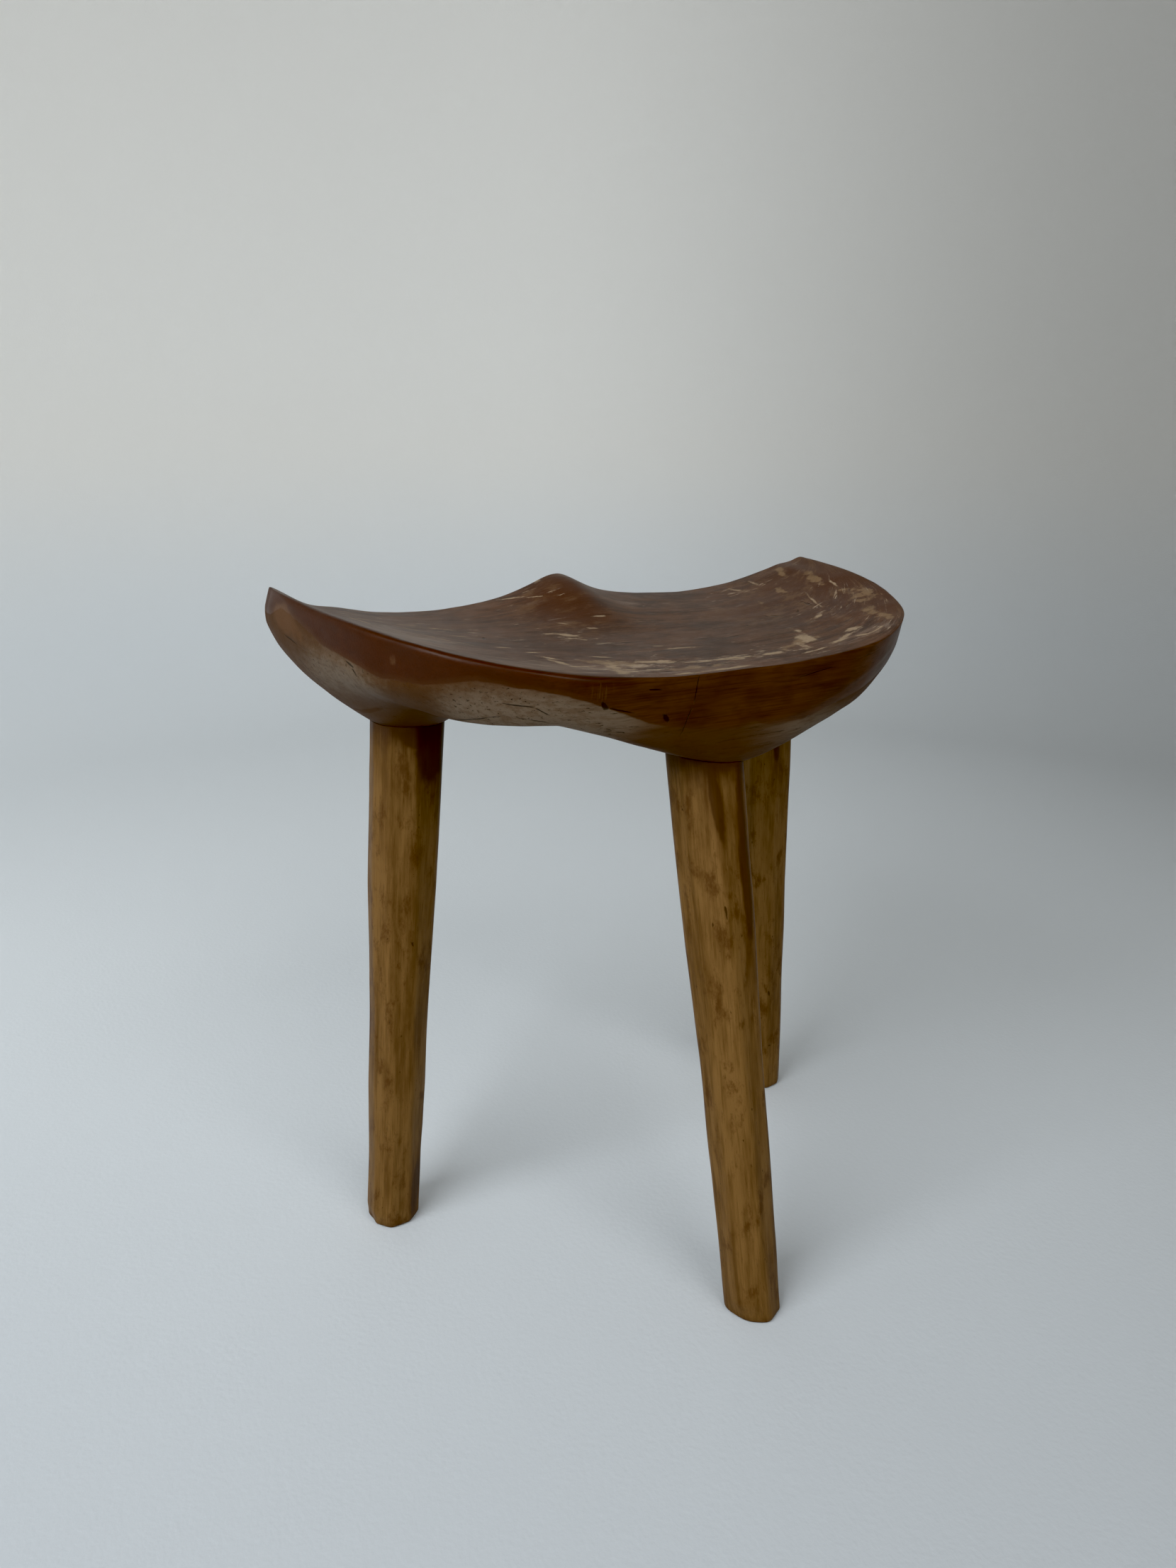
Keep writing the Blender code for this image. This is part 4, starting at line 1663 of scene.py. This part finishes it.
@dataclass(frozen=True)
class ShavedOchre:
    """Finish of the legs: pale wood gone ochre under old varnish, with fine grain, specks and stains."""

    ochre: Colour = (0.1720, 0.0920, 0.0300)
    ochre_dark: Colour = (0.0920, 0.0440, 0.0115)
    ochre_red: Colour = (0.0660, 0.0260, 0.0065)
    # Dark brown of the stains, also used as painted shade under the bosses.
    stain_and_shade: Colour = (0.0380, 0.0140, 0.0050)
    speck: Colour = (0.0250, 0.0100, 0.0035)
    roughness: float = 0.50
    specular: float = 0.13

    fine: Pattern = Pattern((0.0010, 0.0010, 0.030), 5.0, 0.62)
    broad: Pattern = Pattern((0.006, 0.006, 0.100), 3.0, 0.55)
    mottle: Pattern = Pattern((0.009, 0.009, 0.016), 4.0, 0.6)
    cloud: Pattern = Pattern((0.020, 0.020, 0.060), 2.0, 0.5)
    grit: Pattern = Pattern((0.0016, 0.0016, 0.0026), 3.0, 0.6)
    weave: Pattern = Pattern((0.0030, 0.0030, 0.022), 4.0, 0.60, (3.0, 5.0, 1.0))
    smudge: Pattern = Pattern((0.011, 0.011, 0.024), 6.0, 0.70, (6.0, 6.0, 2.0))
    pores: Pattern = Pattern((0.0012, 0.0012, 0.008), 3.0, 0.6, (4.0, 4.0, 4.0))
    flecks: Pattern = Pattern((0.0036, 0.0036, 0.0065), 3.0, 0.55, (9.0, 1.0, 4.0))

    def material(self) -> bpy.types.Material:
        """Build the material, whose grain follows each leg's own axis.

        Returns:
            The legs' material, made once.
        """
        found = bpy.data.materials.get("shaved_ochre")
        if found:
            return found
        graph = Graph("shaved_ochre")
        grain = graph.field("grain")
        floor, boss, _ = graph.split(graph.field("ends"))
        fine = graph.noise(grain, self.fine)
        broad = graph.noise(grain, self.broad)
        mottle = graph.noise(grain, self.mottle)
        cloud = graph.noise(grain, self.cloud)
        grit = graph.noise(grain, self.grit)

        weave = graph.noise(grain, self.weave)
        mixed = broad * 0.35 + weave * 0.30 + fine * 0.15 + cloud * 0.20
        colour = graph.mix(mixed.step(0.38, 0.60), self.ochre_dark, self.ochre)
        smudge = graph.noise(grain, self.smudge)
        colour = colour.coat(smudge.step(0.50, 0.66) * 0.80, self.ochre_red)
        colour = colour.coat(fine.step(0.44, 0.34) * 0.35, self.ochre_dark)
        pores = graph.noise(grain, self.pores)
        colour = colour.coat(pores.step(0.62, 0.72) * 0.45, self.ochre_red)
        flecks = graph.noise(grain, self.flecks)
        colour = colour.coat(flecks.step(0.700, 0.745) * 0.75, self.speck)
        # Stains, and bands of painted shade just under the bosses.
        stain_and_shade_reach = graph.streak("stains_and_shade", grain, 0.014, 0.5)
        colour = colour.coat((stain_and_shade_reach + weave.swing(2.0)).step(2.2, 0.7) * 0.6, self.ochre_red)
        stains_and_shade = (stain_and_shade_reach + mottle.swing(0.7)).step(1.10, 0.75)
        colour = colour.coat(stains_and_shade * (weave * 0.7 + 0.35), self.stain_and_shade)
        specks = (graph.streak("specks", grain, 0.005, 1.2) + grit.swing(1.4)).step(1.20, 0.75)
        colour = colour.coat(specks * 0.85, self.speck)
        # Painted shade within 20 mm under the boss, and darker within 6 mm of the floor.
        boss_shade_and_dark_foot = (boss + mottle.swing(0.022) + fine.swing(0.010)).step(0.020, 0.000) * 0.9
        boss_shade_and_dark_foot = boss_shade_and_dark_foot.most((floor + mottle.swing(0.006)).step(0.006, 0.0) * 0.5)
        colour = colour.coat(boss_shade_and_dark_foot, self.stain_and_shade)

        graph.set_surface(colour, mottle * 0.2 + (self.roughness - 0.1), self.specular)
        graph.bump(fine * 0.5 + broad * 0.6 - specks * 0.8 - pores.step(0.62, 0.72) * 0.3, 0.00022)
        return graph.material


@dataclass(frozen=True)
class PaleFloor:
    """Finish of the studio's floor and wall: matt pale paint, cool on the floor and warmer up the wall."""

    floor: Colour = (0.570, 0.615, 0.660)
    far_floor: Colour = (0.790, 0.845, 0.890)
    wall: Colour = (0.890, 0.890, 0.865)
    shade: Colour = (0.150, 0.148, 0.142)
    roughness: float = 0.7
    specular: float = 0.3

    cloud: Pattern = Pattern((0.30, 0.30, 0.30), 3.0, 0.5)
    grain: Pattern = Pattern((0.0035, 0.0035, 0.0035), 2.0, 0.5)

    def material(self) -> bpy.types.Material:
        """Build the material: paint that changes with height, with faint clouds and an eggshell grain.

        Returns:
            The sweep's material.
        """
        graph = Graph("pale_paint")
        cloud = graph.noise(graph.place, self.cloud)
        grain = graph.noise(graph.place, self.grain)
        x, y, height = graph.split(graph.place)
        rise = (height + cloud.swing(0.05)).step(0.10, 0.60)
        # Painted light: the floor grows brighter further back.
        colour = graph.mix((x * 0.51 + y * 0.86).step(-0.40, 0.45), self.floor, self.far_floor)
        colour = colour.coat(rise, self.wall)
        # Painted shade: floor and wall darker towards the far right.
        far_right = (x * 0.86 - y * 0.51).step(-0.30, 1.50)
        graph.set_surface(colour.coat(far_right * 0.60, self.shade), self.roughness, self.specular)
        graph.bump(grain, 0.0002)
        return graph.material


@dataclass(frozen=True)
class Softbox:
    """A soft studio light: where it stands, its size, its strength and its colour."""

    name: str
    place: Place
    size: tuple[float, float]
    power: float
    colour: Colour


@dataclass(frozen=True)
class Studio:
    """A round pale sweep, soft lights, and the camera where the photograph was taken."""

    floor_radius: float = 1.50
    sweep_round: float = 0.80
    wall_height: float = 2.60
    hub_radius: float = 0.05
    floor_rings: int = 20
    bend_rings: int = 17
    wall_rings: int = 8
    columns: int = 128
    lens: float = 24.0
    sensor: float = 36.0
    camera_place: Place = (-0.3644, -0.5155, 0.5087)
    camera_tilt: float = 73.0
    camera_turn: float = -30.79
    aim: Place = (0.0, 0.0, 0.25)
    world: Colour = (0.86, 0.84, 0.80)
    world_strength: float = 0.110
    black_level: Colour = (0.0085, 0.0100, 0.0130)
    lights: tuple[Softbox, ...] = (
        Softbox("window_left", (-2.00, -0.62, 1.60), (1.70, 1.70), 62.0, (0.97, 0.99, 1.0)),
        Softbox("window_front", (0.05, -2.10, 1.90), (1.50, 1.50), 27.0, (1.0, 0.99, 0.97)),
    )

    def build_sweep(self, finish: PaleFloor) -> bpy.types.Object:
        """Turn the sweep's profile about the upright axis: floor, quarter circle and wall.

        Args:
            finish: the paint.

        Returns:
            The sweep.
        """
        radii = np.linspace(self.hub_radius, self.floor_radius, self.floor_rings)
        turns = np.linspace(0.0, pi / 2, self.bend_rings)[1:]
        heights = np.linspace(self.sweep_round, self.wall_height, self.wall_rings)[1:]
        floor = np.stack([radii, np.zeros(len(radii))], axis=-1)
        corner = np.array([self.floor_radius, self.sweep_round])
        bend = corner + self.sweep_round * np.stack([np.sin(turns), -np.cos(turns)], axis=-1)
        wall = np.stack([np.full(len(heights), self.floor_radius + self.sweep_round), heights], axis=-1)
        profile = np.concatenate([floor, bend, wall])
        angles = np.arange(self.columns) * 2 * pi / self.columns
        out, up = profile[:, :1], np.repeat(profile[:, 1:], self.columns, axis=1)
        rings = np.stack([out * np.cos(angles), out * np.sin(angles), up], axis=-1)
        faces = grid_faces(len(profile), self.columns)[: -self.columns]
        item = make_mesh("sweep", np.concatenate([np.zeros((1, 3)), rings.reshape(-1, 3)]), faces)
        item.data.materials.append(finish.material())
        return item

    def build_light(self, box: Softbox) -> bpy.types.Object:
        """Set up one soft light, turned to the stool.

        Args:
            box: its place, size, strength and colour.

        Returns:
            The light.
        """
        data = bpy.data.lights.new(box.name, "AREA")
        data.shape = "RECTANGLE"
        data.size, data.size_y = box.size
        data.energy = box.power
        data.color = box.colour
        item = bpy.data.objects.new(box.name, data)
        item.location = box.place
        item.rotation_euler = (Vector(self.aim) - Vector(box.place)).to_track_quat("-Z", "Y").to_euler()
        item.visible_camera = False
        bpy.context.scene.collection.objects.link(item)
        return item

    def build_camera(self) -> bpy.types.Object:
        """Set up the camera at the photograph's place and angle.

        Returns:
            The camera, which the scene then uses.
        """
        data = bpy.data.cameras.new("camera")
        data.lens = self.lens
        data.sensor_width = self.sensor
        item = bpy.data.objects.new("camera", data)
        item.location = self.camera_place
        item.rotation_euler = (radians(self.camera_tilt), 0.0, radians(self.camera_turn))
        bpy.context.scene.collection.objects.link(item)
        bpy.context.scene.camera = item
        return item

    def build(self) -> None:
        """Set up the sweep, the lights, the world's soft light and the camera."""
        self.build_sweep(PaleFloor())
        for box in self.lights:
            self.build_light(box)
        world = bpy.data.worlds.new("soft_world")
        world.use_nodes = True
        background = world.node_tree.nodes["Background"]
        background.inputs["Color"].default_value = (*self.world, 1.0)
        background.inputs["Strength"].default_value = self.world_strength
        bpy.context.scene.world = world
        settings = bpy.context.scene.view_settings
        settings.view_transform = "Standard"
        settings.use_curve_mapping = True
        settings.curve_mapping.black_level = self.black_level
        self.build_camera()


LEFT_FLATS = (
    Flat(12.0, -8.0, 0.045),
    Flat(55.0, -10.0, 0.040),
    Flat(98.0, -10.0, 0.050),
    Flat(140.0, -8.0, 0.040),
    Flat(181.0, -12.0, 0.045),
    Flat(225.0, -22.0, 0.035),
    Flat(268.0, -27.0, 0.050),
    Flat(314.0, -28.0, 0.065),
    Flat(348.0, -14.0, 0.030),
)
RIGHT_FLATS = (
    Flat(20.0, 6.0, 0.045),
    Flat(63.0, 8.0, 0.045),
    Flat(105.0, 4.0, 0.050),
    Flat(150.0, 8.0, 0.040),
    Flat(192.0, 6.0, 0.045),
    Flat(232.0, 10.0, 0.045),
    Flat(272.0, 6.0, 0.050),
    Flat(315.0, 8.0, 0.045),
)
BACK_FLATS = (
    Flat(8.0, 10.0, 0.045),
    Flat(50.0, 6.0, 0.045),
    Flat(95.0, 4.0, 0.050),
    Flat(138.0, 6.0, 0.040),
    Flat(182.0, 2.0, 0.040),
    Flat(246.0, -28.0, 0.045),
    Flat(292.0, -26.0, 0.065),
    Flat(330.0, -6.0, 0.045),
)

# Stains and specks on each leg: azimuth and height of the two ends, and the width, in degrees and
# millimetres. The stain tables also hold painted shade, marked row by row.
LEFT_STAINS_AND_SHADE = (
    (292, 356, 294, 338, 29.0),
    # Painted shade: a band just under the boss.
    (246, 354, 270, 350, 12.0),
    (302, 5, 314, 46, 12.0),
    # Painted shade: a band just under the boss.
    (60, 350, 110, 352, 14.0),
)
LEFT_SPECKS = (
    (245, 236, 247, 230, 2.4),
    (264, 221, 271, 216, 2.2),
    (248, 188, 252, 178, 2.6),
    (229, 164, 230, 160, 1.8),
    (266, 148, 272, 138, 1.8),
    (218, 130, 219, 117, 1.2),
    (309, 116, 313, 110, 2.0),
    (240, 84, 241, 82, 1.6),
    (265, 83, 267, 80, 1.8),
    (232, 205, 233, 200, 1.2),
    (256, 108, 262, 104, 1.2),
    (100, 260, 106, 250, 2.2),
    (150, 140, 152, 126, 1.6),
    (30, 190, 36, 182, 2.4),
)
RIGHT_STAINS_AND_SHADE = (
    # Painted shade: a band just under the boss.
    (210, 350, 250, 352, 10.0),
    (255, 330, 262, 300, 7.0),
    # Painted shade: a band just under the boss.
    (80, 345, 130, 350, 14.0),
)
RIGHT_SPECKS = (
    (264, 252, 267, 247, 2.4),
    (260, 236, 262, 231, 1.8),
    (272, 219, 278, 212, 1.8),
    (226, 210, 228, 207, 1.8),
    (233, 195, 235, 191, 1.8),
    (244, 171, 258, 169, 1.2),
    (226, 156, 228, 154, 1.6),
    (253, 98, 256, 94, 2.0),
    (120, 210, 126, 200, 2.2),
    (40, 130, 42, 118, 1.8),
)
BACK_STAINS_AND_SHADE = (
    # Painted shade: a long band down the leg's right-hand side.
    (335, 330, 335, 40, 10.0),
    # Painted shade: a band just under the boss.
    (232, 346, 262, 346, 7.0),
    (240, 344, 252, 296, 8.0),
    # Painted shade: a band just under the boss.
    (262, 344, 300, 340, 10.0),
    (288, 336, 290, 230, 9.0),
    # Painted shade: a band just under the boss.
    (60, 330, 120, 334, 16.0),
)
BACK_SPECKS = (
    (230, 220, 231, 217, 1.8),
    (201, 84, 203, 81, 1.6),
    (252, 103, 255, 99, 1.6),
    (262, 70, 265, 67, 1.6),
    (271, 65, 273, 61, 1.6),
    (234, 60, 242, 63, 1.8),
    (249, 28, 251, 20, 1.0),
    (215, 176, 216, 168, 1.0),
    (245, 260, 247, 252, 1.4),
    (96, 220, 100, 208, 2.2),
    (30, 96, 34, 90, 2.4),
)


def make_legs() -> tuple[ShavedLeg, ShavedLeg, ShavedLeg]:
    """Give the three legs their places, splays, flats and marks.

    Returns:
        The left, right and back leg.
    """
    out, back = SEAT_FORM.side_joint_out, SEAT_FORM.side_joint_back
    forward = -LEG_FORM.side_splay_forward
    side_fall = SEAT_FORM.side_boss_fall
    left = ((-out, back), (-LEG_FORM.left_splay_out, forward), side_fall)
    right = ((out, back), (LEG_FORM.right_splay_out, forward), side_fall)
    rear = ((0.0, SEAT_FORM.back_joint_back), (0.0, LEG_FORM.back_splay), SEAT_FORM.back_boss_fall)
    return (
        ShavedLeg("left", *left, LEFT_FLATS, LEFT_STAINS_AND_SHADE, LEFT_SPECKS, worn_side=190.0, seed=21),
        ShavedLeg("right", *right, RIGHT_FLATS, RIGHT_STAINS_AND_SHADE, RIGHT_SPECKS, worn_side=20.0, seed=31),
        ShavedLeg("back", *rear, BACK_FLATS, BACK_STAINS_AND_SHADE, BACK_SPECKS, worn_side=215.0, seed=41),
    )


def main() -> None:
    """Build the seat, the legs and the studio."""
    logging.basicConfig(level=logging.INFO, format="%(name)s: %(message)s")
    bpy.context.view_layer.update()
    seat = CarvedSeat(SEAT_FORM)
    legs = make_legs()
    seat.build(legs, WornLacquer())
    for leg in legs:
        leg.build(seat, ShavedOchre())
    Studio().build()


if __name__ == "__main__":
    main()
